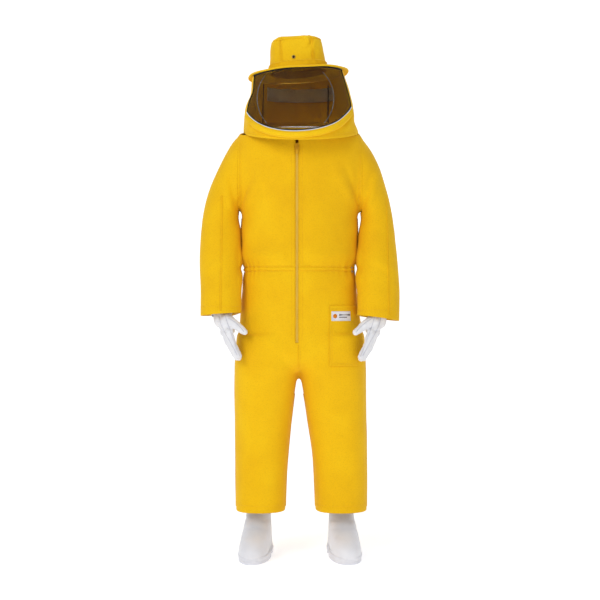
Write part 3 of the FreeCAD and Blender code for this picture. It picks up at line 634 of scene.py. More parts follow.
def limb_rings(rows, side, power, step=0.016, tilt_low=0.0):
    rows = rows[np.argsort(rows[:, 0])]
    rings = []
    for z in np.arange(rows[0, 0], rows[-1, 0] + 1e-6, step):
        outer, inner, cy, ry = (curve(rows[:, 0], rows[:, k], z) for k in range(1, 5))
        low = 1 - float(ramp(z, rows[0, 0], rows[0, 0] + 0.18))
        rings.append(oval((side * (outer + inner) / 2, cy, z), (outer - inner) / 2, ry, 96, power,
                          tilt_low * low))
    return rings


def make_body():
    """The outside of the coverall as two closed skins: trunk and arms, both with the shoulders."""
    torso = torso_rings()
    trunk = [solid_loft(torso)]
    arms = [solid_loft([r for r in torso if r[:, 2].mean() >= SHOULDERS])]
    for side in (LEFT, RIGHT):
        sleeve = limb_rings(SLEEVE[side], side, 2.1, tilt_low=-0.12)
        below = sleeve[0] + np.array([0, -0.006, -0.030])
        arms.append(solid_loft([below] + sleeve))
        trunk.append(solid_loft([r for r in sleeve if r[:, 2].mean() >= ARMPIT]))
        trunk.append(solid_loft(limb_rings(LEG[side], side, 2.5)))
    skins = []
    for name, parts in (("trunk", trunk), ("arms", arms)):
        skins.append(new_object(name, *join(parts)))
        remesh(skins[-1], 0.0055, 14)
    return skins


def close_gaps(trunk, arms):
    """Moves the inside of each sleeve and the body's flank together, until they nearly touch."""
    p = points_of(arms)
    for side in (LEFT, RIGHT):
        rows = SLEEVE[side][np.argsort(SLEEVE[side][:, 0])]
        z = p[:, 2]
        outer, inner = (curve(rows[:, 0], rows[:, k], z) for k in (1, 2))
        near = ramp(z, 0.84, 0.95) * (1 - ramp(z, 1.10, 1.160))
        near = near * (1 - 0.5 * np.exp(-((z - 0.975) / 0.012) ** 2))
        across = np.clip((outer - side * p[:, 0]) / (outer - inner), 0, 1)
        p[:, 0] -= side * np.where(side * p[:, 0] > 0.17, 0.0052 * near * across, 0)
    put_points(arms, p)
    p = points_of(trunk)
    x, z = p[:, 0], p[:, 2]
    flank = ramp(np.abs(x), 0.12, 0.185) * ramp(z, 0.985, 1.02) * (1 - ramp(z, 1.10, 1.160))
    p[:, 0] += np.sign(x) * 0.0030 * flank
    put_points(trunk, p)


# start (x, height), end (x, height), width, height of the ridge (a groove below 0), face as in fold
FOLDS = (
    (0.196, 1.165, 0.120, 1.300, 0.016, 0.0050, -1),
    (0.207, 1.175, 0.150, 1.315, 0.010, -0.0040, -1),
    (0.225, 1.165, 0.262, 1.290, 0.014, 0.0040, -1),
    (0.213, 1.170, 0.238, 1.290, 0.009, -0.0040, -1),
    (0.240, 1.060, 0.315, 1.095, 0.014, 0.0020, 0),
    (0.232, 1.010, 0.310, 0.965, 0.016, 0.0026, -1),
    (0.240, 0.985, 0.300, 0.950, 0.010, -0.0018, -1),
    (0.215, 0.905, 0.285, 0.880, 0.013, 0.0018, -1),
    (0.180, 1.040, 0.080, 1.010, 0.016, 0.0030, 0),
    (0.175, 0.925, 0.110, 0.900, 0.014, 0.0022, -1),
    (0.030, 0.690, 0.120, 0.740, 0.018, 0.0030, -1),
    (0.020, 0.645, 0.110, 0.640, 0.014, 0.0026, -1),
    (0.075, 0.500, 0.180, 0.470, 0.022, 0.0026, -1),
    (0.060, 0.395, 0.200, 0.430, 0.020, 0.0024, 1),
    (0.070, 0.480, 0.200, 0.505, 0.018, 0.0026, 1),
    (0.080, 0.250, 0.190, 0.235, 0.022, 0.0022, 0),
    (0.040, 0.760, 0.150, 0.700, 0.020, 0.0032, 1),
    (0.150, 1.170, 0.060, 1.290, 0.022, 0.0036, 1),
    (0.170, 1.090, 0.080, 1.060, 0.018, 0.0030, 1),
)


def crease(body):
    """Folds, blousing over the waist and the loose drift of thick cloth."""
    p, n = points_of(body), normals_of(body)
    x, y, z = p.T
    add = 0.0026 * rolling_noise(p, (0.10, 0.16, 0.22), 3.1)
    add += 0.0012 * rolling_noise(p, (0.045, 0.07, 0.10), 8.4)
    for s in (LEFT, RIGHT):
        for x0, z0, x1, z1, width, height, face in FOLDS:
            add += fold(p, (s * x0, z0), (s * x1, z1), width, height, face)
    angle = np.arctan2(y - 0.02, x)
    torso = ramp(ARMHOLE - np.abs(x), 0.0, 0.006)
    pleats = 0.5 + 0.5 * np.sin(angle * 46 + 2.2 * np.sin(angle * 7))
    side_gather = ramp(np.abs(x), 0.10, 0.165)
    near_waist = np.exp(-(((z - WAIST) / 0.028) ** 2)) * torso
    add += near_waist * (0.0006 + 0.0030 * side_gather) * (pleats - 0.4)
    add += 0.0055 * torso * np.exp(-(((z - 1.012) / 0.026) ** 2))
    add += 0.0030 * torso * np.exp(-(((z - 0.938) / 0.022) ** 2))
    add -= 0.0020 * torso * np.exp(-(((z - WAIST) / 0.010) ** 2))
    by_zip = ramp(np.abs(x - ZIP_X), 0.012, 0.050)
    front = (y < 0) & (np.abs(x) < 0.07) & (z > 0.70) & (z < 1.45)
    add = np.where(front, add * by_zip, add)
    target = np.where(front & (np.abs(x - ZIP_X) < 0.05), -0.1122, y)
    p = p + n * add[:, None]
    p[:, 1] += (target - p[:, 1]) * (1 - by_zip) * front
    put_points(body, p)


def bisect(bm, at, normal, pick=None):
    geom = bm.verts[:] + bm.edges[:] + bm.faces[:]
    if pick:
        faces = [f for f in bm.faces if pick(f.calc_center_median())]
        edges = {e for f in faces for e in f.edges}
        verts = {v for f in faces for v in f.verts}
        geom = list(verts) + list(edges) + faces
    bmesh.ops.bisect_plane(bm, geom=geom, plane_co=at, plane_no=normal, dist=1e-5)


def trunk_region(c):
    """Which piece of the trunk's skin a face at c belongs to, or none where it is open."""
    if abs(c.x) > ARMHOLE and c.z > 1.140:
        return None
    if (c - NECK_AT).dot(NECK_UP) > -0.004 or c.z < HEM:
        return None
    if abs(c.x - ZIP_X) < ZIP_HALF and c.y < 0 and c.z > ZIP_LOW:
        return None
    return "bodice" if c.z > WAIST else "trousers"


def arm_region(c):
    """Which sleeve a face at c belongs to, or none where it is open."""
    side = LEFT if c.x > 0 else RIGHT
    at, down = CUFF[side]
    if abs(c.x) < 0.170 or (c.z > ARMPIT and abs(c.x) < ARMHOLE) or (c - at).dot(down) > 0:
        return None
    return f"sleeve_{SIDE_NAME[side]}"


def take(bm, region, name):
    """Copies the faces of one region into an object of their own."""
    copy = bm.copy()
    copy.faces.index_update()
    wrong = [f for f in copy.faces if region[f.index] != name]
    bmesh.ops.delete(copy, geom=wrong, context="FACES")
    mesh = bpy.data.meshes.new(name)
    copy.to_mesh(mesh)
    copy.free()
    mesh.shade_smooth()
    mesh.materials.append(SUIT)
    obj = bpy.data.objects.new(f"{name}_cloth", mesh)
    bpy.context.scene.collection.objects.link(obj)
    return obj


def cut_body(trunk, arms):
    out = {}
    bm = bmesh.new()
    bm.from_mesh(trunk.data)
    for side in (LEFT, RIGHT):
        bisect(bm, (side * ARMHOLE, 0, 0), (1, 0, 0), lambda c: c.z > 1.145 and c.x * side > 0.19)
    bisect(bm, NECK_AT - NECK_UP * 0.004, NECK_UP, lambda c: c.z > 1.36)
    bisect(bm, (0, 0, HEM), (0, 0, 1), lambda c: c.z < 0.18)
    bisect(bm, (0, 0, WAIST), (0, 0, 1), lambda c: 0.95 < c.z < 0.99)
    for x in (ZIP_X - ZIP_HALF, ZIP_X + ZIP_HALF):
        bisect(bm, (x, 0, 0), (1, 0, 0), lambda c: abs(c.x - ZIP_X) < 0.02 and c.y < 0 and c.z > 0.70)
    bisect(bm, (0, 0, ZIP_LOW), (0, 0, 1), lambda c: abs(c.x - ZIP_X) < 0.02 and c.y < 0)
    bm.faces.index_update()
    region = [trunk_region(f.calc_center_median()) for f in bm.faces]
    for name in ("bodice", "trousers"):
        out[name] = take(bm, region, name)
    bm.free()
    bm = bmesh.new()
    bm.from_mesh(arms.data)
    for side in (LEFT, RIGHT):
        bisect(bm, (side * ARMHOLE, 0, 0), (1, 0, 0), lambda c: c.z > 1.145 and c.x * side > 0.19)
        at, down = CUFF[side]
        bisect(bm, at, down, lambda c: c.x * side > 0.16 and c.z < 0.90)
    bisect(bm, (0, 0, ARMPIT), (0, 0, 1), lambda c: abs(c.x) < 0.23 and 1.14 < c.z < 1.19)
    bm.faces.index_update()
    region = [arm_region(f.calc_center_median()) for f in bm.faces]
    for name in ("sleeve_left", "sleeve_right"):
        out[name] = take(bm, region, name)
    bm.free()
    for body in (trunk, arms):
        bpy.data.objects.remove(body)
    return out


trunk, arms = make_body()
close_gaps(trunk, arms)
for body in (trunk, arms):
    crease(body)
cloth = cut_body(trunk, arms)
skin = {name: Skin(obj) for name, obj in cloth.items()}
for obj in cloth.values():
    solidify(obj, CLOTH)

piece(cloth["bodice"], "coverall",
      named("bodice_", "shoulder_yoke"))
piece(cloth["trousers"], "coverall", named("trouser_"))
for side in (LEFT, RIGHT):
    name = f"sleeve_{SIDE_NAME[side]}"
    obj = cloth[name]
    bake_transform(obj)
    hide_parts(*named("sleeve_", end=SIDE_NAME[side]))

# ---------------------------------------------------------------- seams, waist, pocket, zip

def seam_welt(path, radius=0.0016):
    if len(path) < 2:
        return np.zeros((0, 3)), []
    return swept(resample(path, 0.006), radius, 6)


def offset_path(path, shift):
    return [p + np.asarray(shift) for p in path]


def coverall_seams():
    """Welts and stitching on the body: armholes, side seams, crotch, hems, zip edges."""
    up, low = skin["bodice"], skin["trousers"]
    welts, rows = [], []
    for s in (LEFT, RIGHT):
        side_line = keep([up.along((s, 0.028, z), (-s, 0, 0), 0.0006) for z in np.arange(0.99, 1.15, 0.006)])
        welts.append(seam_welt(side_line, 0.0012))
        leg_line = keep([low.along((s, 0.030, z), (-s, 0, 0), 0.0006) for z in np.arange(0.165, 0.955, 0.006)])
        welts.append(seam_welt(leg_line, 0.0012))
        rows.append(stitches(offset_path(leg_line, (s * 0.0006, -0.006, 0))))
        inner = keep([low.along((s * 0.012, 0.030, z), (s, 0, 0), 0.0008)
                      for z in np.arange(0.165, 0.555, 0.006)])
        if len(inner) > 2:
            welts.append(seam_welt(inner, 0.0012))
        for dx in (0.0095, 0.0175):
            line = keep([up.front(ZIP_X + s * dx, z, 0.0004) for z in np.arange(0.985, 1.385, 0.004)])
            rows.append(stitches(line))
            line = keep([low.front(ZIP_X + s * dx, z, 0.0004) for z in np.arange(0.735, 0.960, 0.004)])
            rows.append(stitches(line))
        for depth in (0.006, 0.011):
            arm = []
            for a in np.linspace(-0.42 * math.pi, 1.42 * math.pi, 150):
                y, z = 0.034 + 0.16 * math.cos(a), 1.30 + 0.16 * math.sin(a)
                arm.append(up.along((s * (ARMHOLE - depth), y, z), (0, -math.cos(a), -math.sin(a)), 0.0004))
            rows.append(stitches(keep(arm)))
        bottom = []
        for a in np.linspace(0, TAU, 160):
            centre = (s * 0.138, 0.038, HEM + 0.024)
            bottom.append(low.round(a, centre, 0.0004))
        rows.append(stitches([b for b in keep(bottom) if b[0] * s > 0]))
    down = keep([low.front(-0.006, z, 0.0007) for z in np.arange(0.640, 0.724, 0.004)])
    welts.append(seam_welt(down, 0.0014))
    rows.append(stitches(keep([low.front(0.001, z, 0.0004) for z in np.arange(0.645, 0.724, 0.004)])))
    spine = keep([up.back(0, z, 0.0006) for z in np.arange(0.99, 1.40, 0.006)])
    seat = keep([low.back(0, z, 0.0006) for z in np.arange(0.66, 0.955, 0.006)])
    welts += [seam_welt(spine, 0.0012), seam_welt(seat, 0.0012)]
    yoke = keep([up.back(x, 1.385 - 0.010 * math.cos(x * 14), 0.0006) for x in np.arange(-0.20, 0.201, 0.006)])
    welts.append(seam_welt(yoke, 0.0014))
    rows.append(stitches(offset_path(yoke, (0, 0.0004, -0.006))))
    obj = new_object("coverall_seam_welts", *join(welts), SUIT)
    piece(obj, "coverall")
    obj = new_object("coverall_stitching", *join(rows), THREAD)
    piece(obj, "coverall")


def sleeve_seams(side):
    name = f"sleeve_{SIDE_NAME[side]}"
    s, tree = side, skin[name]
    seam_x = {RIGHT: -0.260, LEFT: 0.292}[side]
    z_low = CUFF[side][0].z + 0.012
    welts, rows = [], []
    front = keep([tree.front(seam_x + 0.1 * s * max(0, z - 1.20), z, 0.0006)
                  for z in np.arange(z_low, 1.22, 0.005)])
    back = keep([tree.back(s * 0.268, z, 0.0006) for z in np.arange(z_low - 0.02, 1.32, 0.005)])
    welts += [seam_welt(front, 0.0013), seam_welt(back, 0.0013)]
    rows.append(stitches(offset_path(front, (s * 0.005, -0.0003, 0))))
    at, down = CUFF[side]
    ring_ = []
    across = Vector((1, 0, 0)).cross(down).normalized()
    for a in np.linspace(0, TAU, 110):
        out = Vector((1, 0, 0)) * math.cos(a) + across * math.sin(a)
        centre = at - down * 0.024
        ring_.append(tree.along(centre + out * 0.3, -out, 0.0004))
    rows.append(stitches(keep(ring_)))
    obj = new_object(f"{name}_seam_welts", *join(welts), SUIT)
    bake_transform(obj)
    obj = new_object(f"{name}_stitching", *join(rows), THREAD)
    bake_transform(obj)


def waist_band():
    """The raised, gathered casing round the waist."""
    tree = skin["bodice"], skin["trousers"]
    rows, count = [], 420
    for k in range(count):
        a = TAU * k / count
        base = tree[0].round(a, (0, 0.015, WAIST + 0.0015), 0)
        if base is None:
            base = tree[1].round(a, (0, 0.015, WAIST - 0.0015), 0)
        rows.append(base)
    path = np.array(rows)
    angle = np.linspace(0, TAU, count, endpoint=False)
    side_gather = ramp(np.abs(path[:, 0]), 0.10, 0.165)
    lift = 0.0016 * np.sin(angle * 5 + 0.6) * side_gather - 0.0015
    path[:, 2] += lift
    out = np.stack([np.cos(angle), np.sin(angle), 0 * angle], axis=1)
    proud = 0.0028 + 0.0012 * side_gather * (0.5 + 0.5 * np.sin(angle * 52 + 2 * np.sin(angle * 9)))
    tall = 0.0062 + 0.0015 * side_gather * np.sin(angle * 31)
    profile = [(-1.0, -0.6), (-0.85, 0.55), (-0.35, 1.0), (0.2, 1.02), (0.75, 0.7), (1.0, -0.6)]
    verts = np.concatenate([
        path + out * (proud * o)[:, None] + np.stack([0 * tall, 0 * tall, tall * h], axis=1)
        for h, o in profile
    ])
    faces = tube_faces(len(profile), count)
    faces += [(k, (k + 1) % count, (len(profile) - 1) * count + (k + 1) % count, (len(profile) - 1) * count + k)
              for k in range(count)]
    front_gap = [f for f in faces if not all(abs(verts[i][0] - ZIP_X) < 0.0062 and verts[i][1] < 0 for i in f)]
    obj = new_object("waist_casing_band", verts, front_gap, SUIT)
    piece(obj, "coverall", ["waist_casing"])
    rows = []
    for dz in (0.0085, -0.0085):
        line = []
        for a in np.linspace(0, TAU, 300):
            t = tree[0] if dz > 0 else tree[1]
            line.append(t.round(a, (0, 0.015, WAIST + dz), 0.0004))
        rows.append(stitches([q for q in keep(line) if not (abs(q[0] - ZIP_X) < 0.008 and q[1] < 0)]))
    piece(new_object("waist_stitching", *join(rows), THREAD), "coverall")


def patch(name, tree, xs, zs, lift, wall, material, edge=0.0):
    """A cloth patch laid on the front of a piece; xs is (start, width on the cloth, count)."""
    wide, tall = int(xs[2]), int(zs[2])
    grid = []
    for z in np.linspace(*zs):
        line = np.array(keep([tree.front(x, z, lift) for x in np.arange(xs[0], 0.216, 0.0015)]))
        step = np.linalg.norm(np.diff(line, axis=0), axis=1)
        line = line[: 1 + (int(np.argmax(step > 0.02)) if (step > 0.02).any() else len(step))]
        run = np.concatenate([[0], np.cumsum(np.linalg.norm(np.diff(line, axis=0), axis=1))])
        at = np.linspace(0, min(xs[1], run[-1]), wide)
        grid += list(np.stack([np.interp(at, run, line[:, k]) for k in range(3)], axis=1))
    obj = new_object(name, np.array(grid), tube_faces(tall, wide, closed=False), material)
    if edge:
        co, no = points_of(obj), normals_of(obj)
        i = np.arange(len(co))
        col, row = i % wide, i // wide
        rim = np.minimum.reduce([col, wide - 1 - col, row, tall - 1 - row])
        co += np.array([0, -1, 0]) * (edge * np.exp(-((rim - 1.5) / 1.6) ** 2))[:, None]
        put_points(obj, co)
    solidify(obj, wall, 1.0)
    return obj


def pocket():
    tree = skin["trousers"]
    x0, width, z0, z1 = 0.0975, 0.135, 0.650, 0.8495
    obj = patch("pocket_cloth", tree, (x0, width, 60), (z0, z1, 100), 0.0006, 0.0022, SUIT, 0.0012)
    tree = Skin(obj)
    piece(obj, "coverall", ["pocket_left"])
    rows, x1 = [], 0.196
    for inset in (0.0030, 0.0085):
        a, b, c, d = x0 + inset, x1 - inset, z0 + inset, z1 - inset
        lift = 0.0004
        path = keep([tree.front(a, z, lift) for z in np.arange(d, c, -0.003)]
                    + [tree.front(x, c, lift) for x in np.arange(a, b, 0.003)]
                    + [tree.front(b, z, lift) for z in np.arange(c, d, 0.003)])
        rows.append(stitches(path))
    for drop in (0.012, 0.018):
        xs = np.arange(x0 + 0.009, x1 - 0.009, 0.003)
        rows.append(stitches(keep([tree.front(x, z1 - drop, 0.0004) for x in xs])))
    piece(new_object("pocket_stitching", *join(rows), THREAD), "coverall")
    lx, lz = (0.1040, 0.1780), (0.7985, 0.8305)
    obj = patch("pocket_label_cloth", tree, (lx[0], 0.0745, 40), (*lz, 20), 0.0002, 0.0009, LABEL, 0.0)
    tree = Skin(obj)
    piece(obj, "coverall", ["pocket_label"])
    rows = [stitches(keep([tree.front(x, z, 0.0002) for x in np.arange(lx[0] + 0.002, lx[1] - 0.002, 0.002)]),
                     0.0018, 0.0026, 0.0003) for z in (lz[0] + 0.002, lz[1] - 0.002)]
    rows += [stitches(keep([tree.front(x, z, 0.0002) for z in np.arange(lz[0] + 0.002, lz[1] - 0.002, 0.002)]),
                      0.0018, 0.0026, 0.0003) for x in (lx[0] + 0.002, lx[1] - 0.002)]
    piece(new_object("label_stitching", *join(rows), PIPING), "coverall")
    def flat_shape(name, outline, material):
        ring_ = [tree.front(x, z, 0.0001) for x, z in outline]
        n = len(outline)
        middle = tree.front(sum(o[0] for o in outline) / n, sum(o[1] for o in outline) / n, 0.0001)
        verts = np.array(ring_ + [middle])
        o = new_object(name, verts, [(k, (k + 1) % n, n) for k in range(n)], material)
        solidify(o, 0.0004, 1.0)
        piece(o, "coverall")
    turns = [TAU * k / 6 + 0.52 for k in range(6)]
    hexagon = [(0.1165 + 0.0075 * math.cos(t), 0.8145 + 0.0080 * math.sin(t)) for t in turns]
    flat_shape("label_hexagon", hexagon, AMBER)
    for k, (z, x_end, tall) in enumerate(((0.8185, 0.1660, 0.0030), (0.8105, 0.1560, 0.0016))):
        x_a = 0.1300
        flat_shape(f"label_bar_{k + 1}",
                   [(x_a, z - tall), (x_end, z - tall), (x_end + 0.001, z), (x_end, z + tall), (x_a, z + tall)],
                   GREY)


def main_zip():
    """Woven tapes behind the slot and two rows of moulded teeth between z low and high."""
    low, high = 0.7275, 1.388
    for side in (LEFT, RIGHT):
        verts, faces = [], []
        zs = np.arange(low, high + 0.001, 0.004)
        for z in zs:
            for dx, y in ((0.0016, -0.1112), (0.0042, -0.1112), (0.0070, -0.1098), (0.0110, -0.1070)):
                verts.append((ZIP_X + side * dx, y, z))
        faces = tube_faces(len(zs), 4, closed=False)
        obj = new_object(f"main_zip_tape_weave_{SIDE_NAME[side]}", verts, faces, TAPE)
        solidify(obj, 0.0009, 0)
        piece(obj, "coverall", [f"main_zip_tape_{SIDE_NAME[side]}"])
        parts = []
        for z in np.arange(low + 0.005, high - 0.004, 0.0030):
            z += 0.0015 * (side < 0)
            near, far, deep = -0.0005 * side, 0.0040 * side, 0.0019
            prof = [(near, 0.00085), (near + 0.0011 * side, 0.0011), (far * 0.55, 0.0008), (far, 0.0010)]
            ringed = []
            for dx, half in prof:
                x = ZIP_X + dx
                ringed.append(np.array([(x, -0.1116, z - half), (x, -0.1116 - deep * 0.8, z - half * 0.9),
                                        (x, -0.1116 - deep, z), (x, -0.1116 - deep * 0.8, z + half * 0.9),
                                        (x, -0.1116, z + half)]))
            parts.append(solid_loft(ringed))
        if side == RIGHT:
            for z in (low + 0.0005, low + 0.0022):
                outline = ((-0.1112, 0), (-0.1140, 0.0002), (-0.1143, 0.0008), (-0.1140, 0.0014),
                           (-0.1112, 0.0016))
                bar = [np.array([(x, y, z + up) for y, up in outline])
                       for x in np.linspace(ZIP_X - ZIP_HALF, ZIP_X + ZIP_HALF, 5)]
                parts.append(solid_loft(bar))
        obj = new_object(f"main_zip_chain_{SIDE_NAME[side]}", *join(parts), TEETH, smooth=False)
        piece(obj, "coverall", [f"main_zip_teeth_{SIDE_NAME[side]}"])


coverall_seams()
for side in (LEFT, RIGHT):
    sleeve_seams(side)
waist_band()
pocket()
main_zip()

# ---------------------------------------------------------------- hood

# height, reach right, reach left, half depth, centre y
HOOD_ROWS = np.array([
    (1.370, 0.189, 0.197, 0.1890, 0.004),
    (1.437, 0.1915, 0.196, 0.1900, 0.005),
    (1.470, 0.188, 0.184, 0.1885, 0.003),
    (1.500, 0.186, 0.181, 0.1865, 0.001),
    (1.530, 0.180, 0.178, 0.1845, 0.001),
    (1.560, 0.168, 0.171, 0.1805, 0.002),
    (1.600, 0.165, 0.160, 0.1750, 0.004),
    (1.630, 0.163, 0.151, 0.1710, 0.005),
    (1.675, 0.160, 0.142, 0.1660, 0.006),
])
HAT_ROLL = math.radians(-3.9)
HAT = Matrix.Translation((-0.006, 0.006, 1.6415)) @ Matrix.Rotation(HAT_ROLL, 4, "Y")
LIP_AT, LIP_SLOPE = Vector((0, 0.0053, 1.4369)), math.tan(math.radians(14))
WINDOW_Y = -0.067
RIM_Z, RIM_SLOPE, RIM_TWIST = 1.5030, math.tan(math.radians(36.5)), 0.050


def hood_xy(angle, z):
    right, left, ry, cy = (curve(HOOD_ROWS[:, 0], HOOD_ROWS[:, k], z) for k in range(1, 5))
    c, s = np.cos(angle), np.sin(angle)
    rx = np.where(c > 0, left, right)
    return rx * np.sign(c) * np.abs(c) ** 0.96, cy + ry * np.sign(s) * np.abs(s) ** 0.96


def lip_height(x, y):
    return LIP_AT.z + (y - LIP_AT.y) * LIP_SLOPE


def rim_height(x, y):
    return RIM_Z + (y - WINDOW_Y) * RIM_SLOPE + x * RIM_TWIST


def brim_height(x, y):
    """Underside of the brim's root, where the hood is sewn on."""
    return HAT.translation.z - 0.011 + (x - HAT.translation.x) * math.tan(-HAT_ROLL)


def settle(angle, height):
    """The point of the hood at an angle that lies on a sloping plane."""
    z = np.full_like(np.asarray(angle, float), 1.5)
    for _ in range(30):
        x, y = hood_xy(angle, z)
        z = 0.5 * z + 0.5 * height(x, y)
    x, y = hood_xy(angle, z)
    return np.stack([x, y, z], axis=1)


def hood_grid():
    """The hood as one sheet from the lip up to the hat: points and quads."""
    count, rows = 220, 64
    angle = np.linspace(0, TAU, count, endpoint=False)
    low, high = settle(angle, lip_height), settle(angle, brim_height)
    verts = []
    for t in np.linspace(0, 1, rows):
        z = low[:, 2] * (1 - t) + high[:, 2] * t
        x, y = hood_xy(angle, z)
        verts.append(np.stack([x, y, z], axis=1))
    verts = np.concatenate(verts)
    return verts, tube_faces(rows, count)


def hood_creases(p):
    """Soft folds in the cloth; less above the rim, where the net stays taut."""
    x, y, z = p.T
    out = np.stack([x, y, 0 * z], axis=1)
    out /= np.linalg.norm(out, axis=1)[:, None]
    below = 1 - ramp(z - rim_height(x, y), -0.004, 0.006) * (y < WINDOW_Y + 0.004)
    add = (0.0035 * rolling_noise(p, (0.07, 0.07, 0.10), 5.5) + 0.0015 * rolling_noise(p, 0.035, 2.2)) * below
    add += fold(p, (0.176, 1.505), (0.158, 1.440), 0.011, 0.0060, -1) * below
    add -= fold(p, (0.160, 1.500), (0.140, 1.440), 0.010, 0.0055, -1) * below
    add += fold(p, (-0.176, 1.490), (-0.165, 1.440), 0.012, 0.0035, -1) * below
    for x0, x1 in ((0.05, 0.09), (-0.10, -0.05), (0.12, 0.13), (-0.02, 0.01)):
        add += fold(p, (x0, 1.640), (x1, 1.470), 0.016, 0.0040, 1)
    return p + out * add[:, None]


def hood_piece(name, rule, material, wall):
    """Cuts the hood's sheet along the window and the vent and keeps the faces that the rule picks."""
    verts, faces = hood_grid()
    verts = hood_creases(verts)
    obj = new_object(name, verts, faces, material)
    bm = bmesh.new()
    bm.from_mesh(obj.data)
    bisect(bm, (0, WINDOW_Y, 0), (0, 1, 0))
    bisect(bm, (0, WINDOW_Y, RIM_Z), (-RIM_TWIST, -RIM_SLOPE, 1), lambda c: c.y < WINDOW_Y + 0.01)
    for z in (VENT_LOW, VENT_HIGH):
        bisect(bm, (0, 0, z), (0, 0, 1), lambda c: c.y > 0.05)
    for x in (-VENT_HALF, VENT_HALF):
        bisect(bm, (x, 0, 0), (1, 0, 0), lambda c: c.y > 0.05)
    bmesh.ops.delete(bm, geom=[f for f in bm.faces if not rule(f.calc_center_median())], context="FACES")
    bm.to_mesh(obj.data)
    bm.free()
    obj.data.shade_smooth()
    solidify(obj, wall)
    return obj


VENT_LOW, VENT_HIGH, VENT_HALF = 1.562, 1.612, 0.118


def in_window(c):
    return c.y < WINDOW_Y and c.z > rim_height(c.x, c.y)


def in_vent(c):
    return c.y > 0.05 and abs(c.x) < VENT_HALF and VENT_LOW < c.z < VENT_HIGH


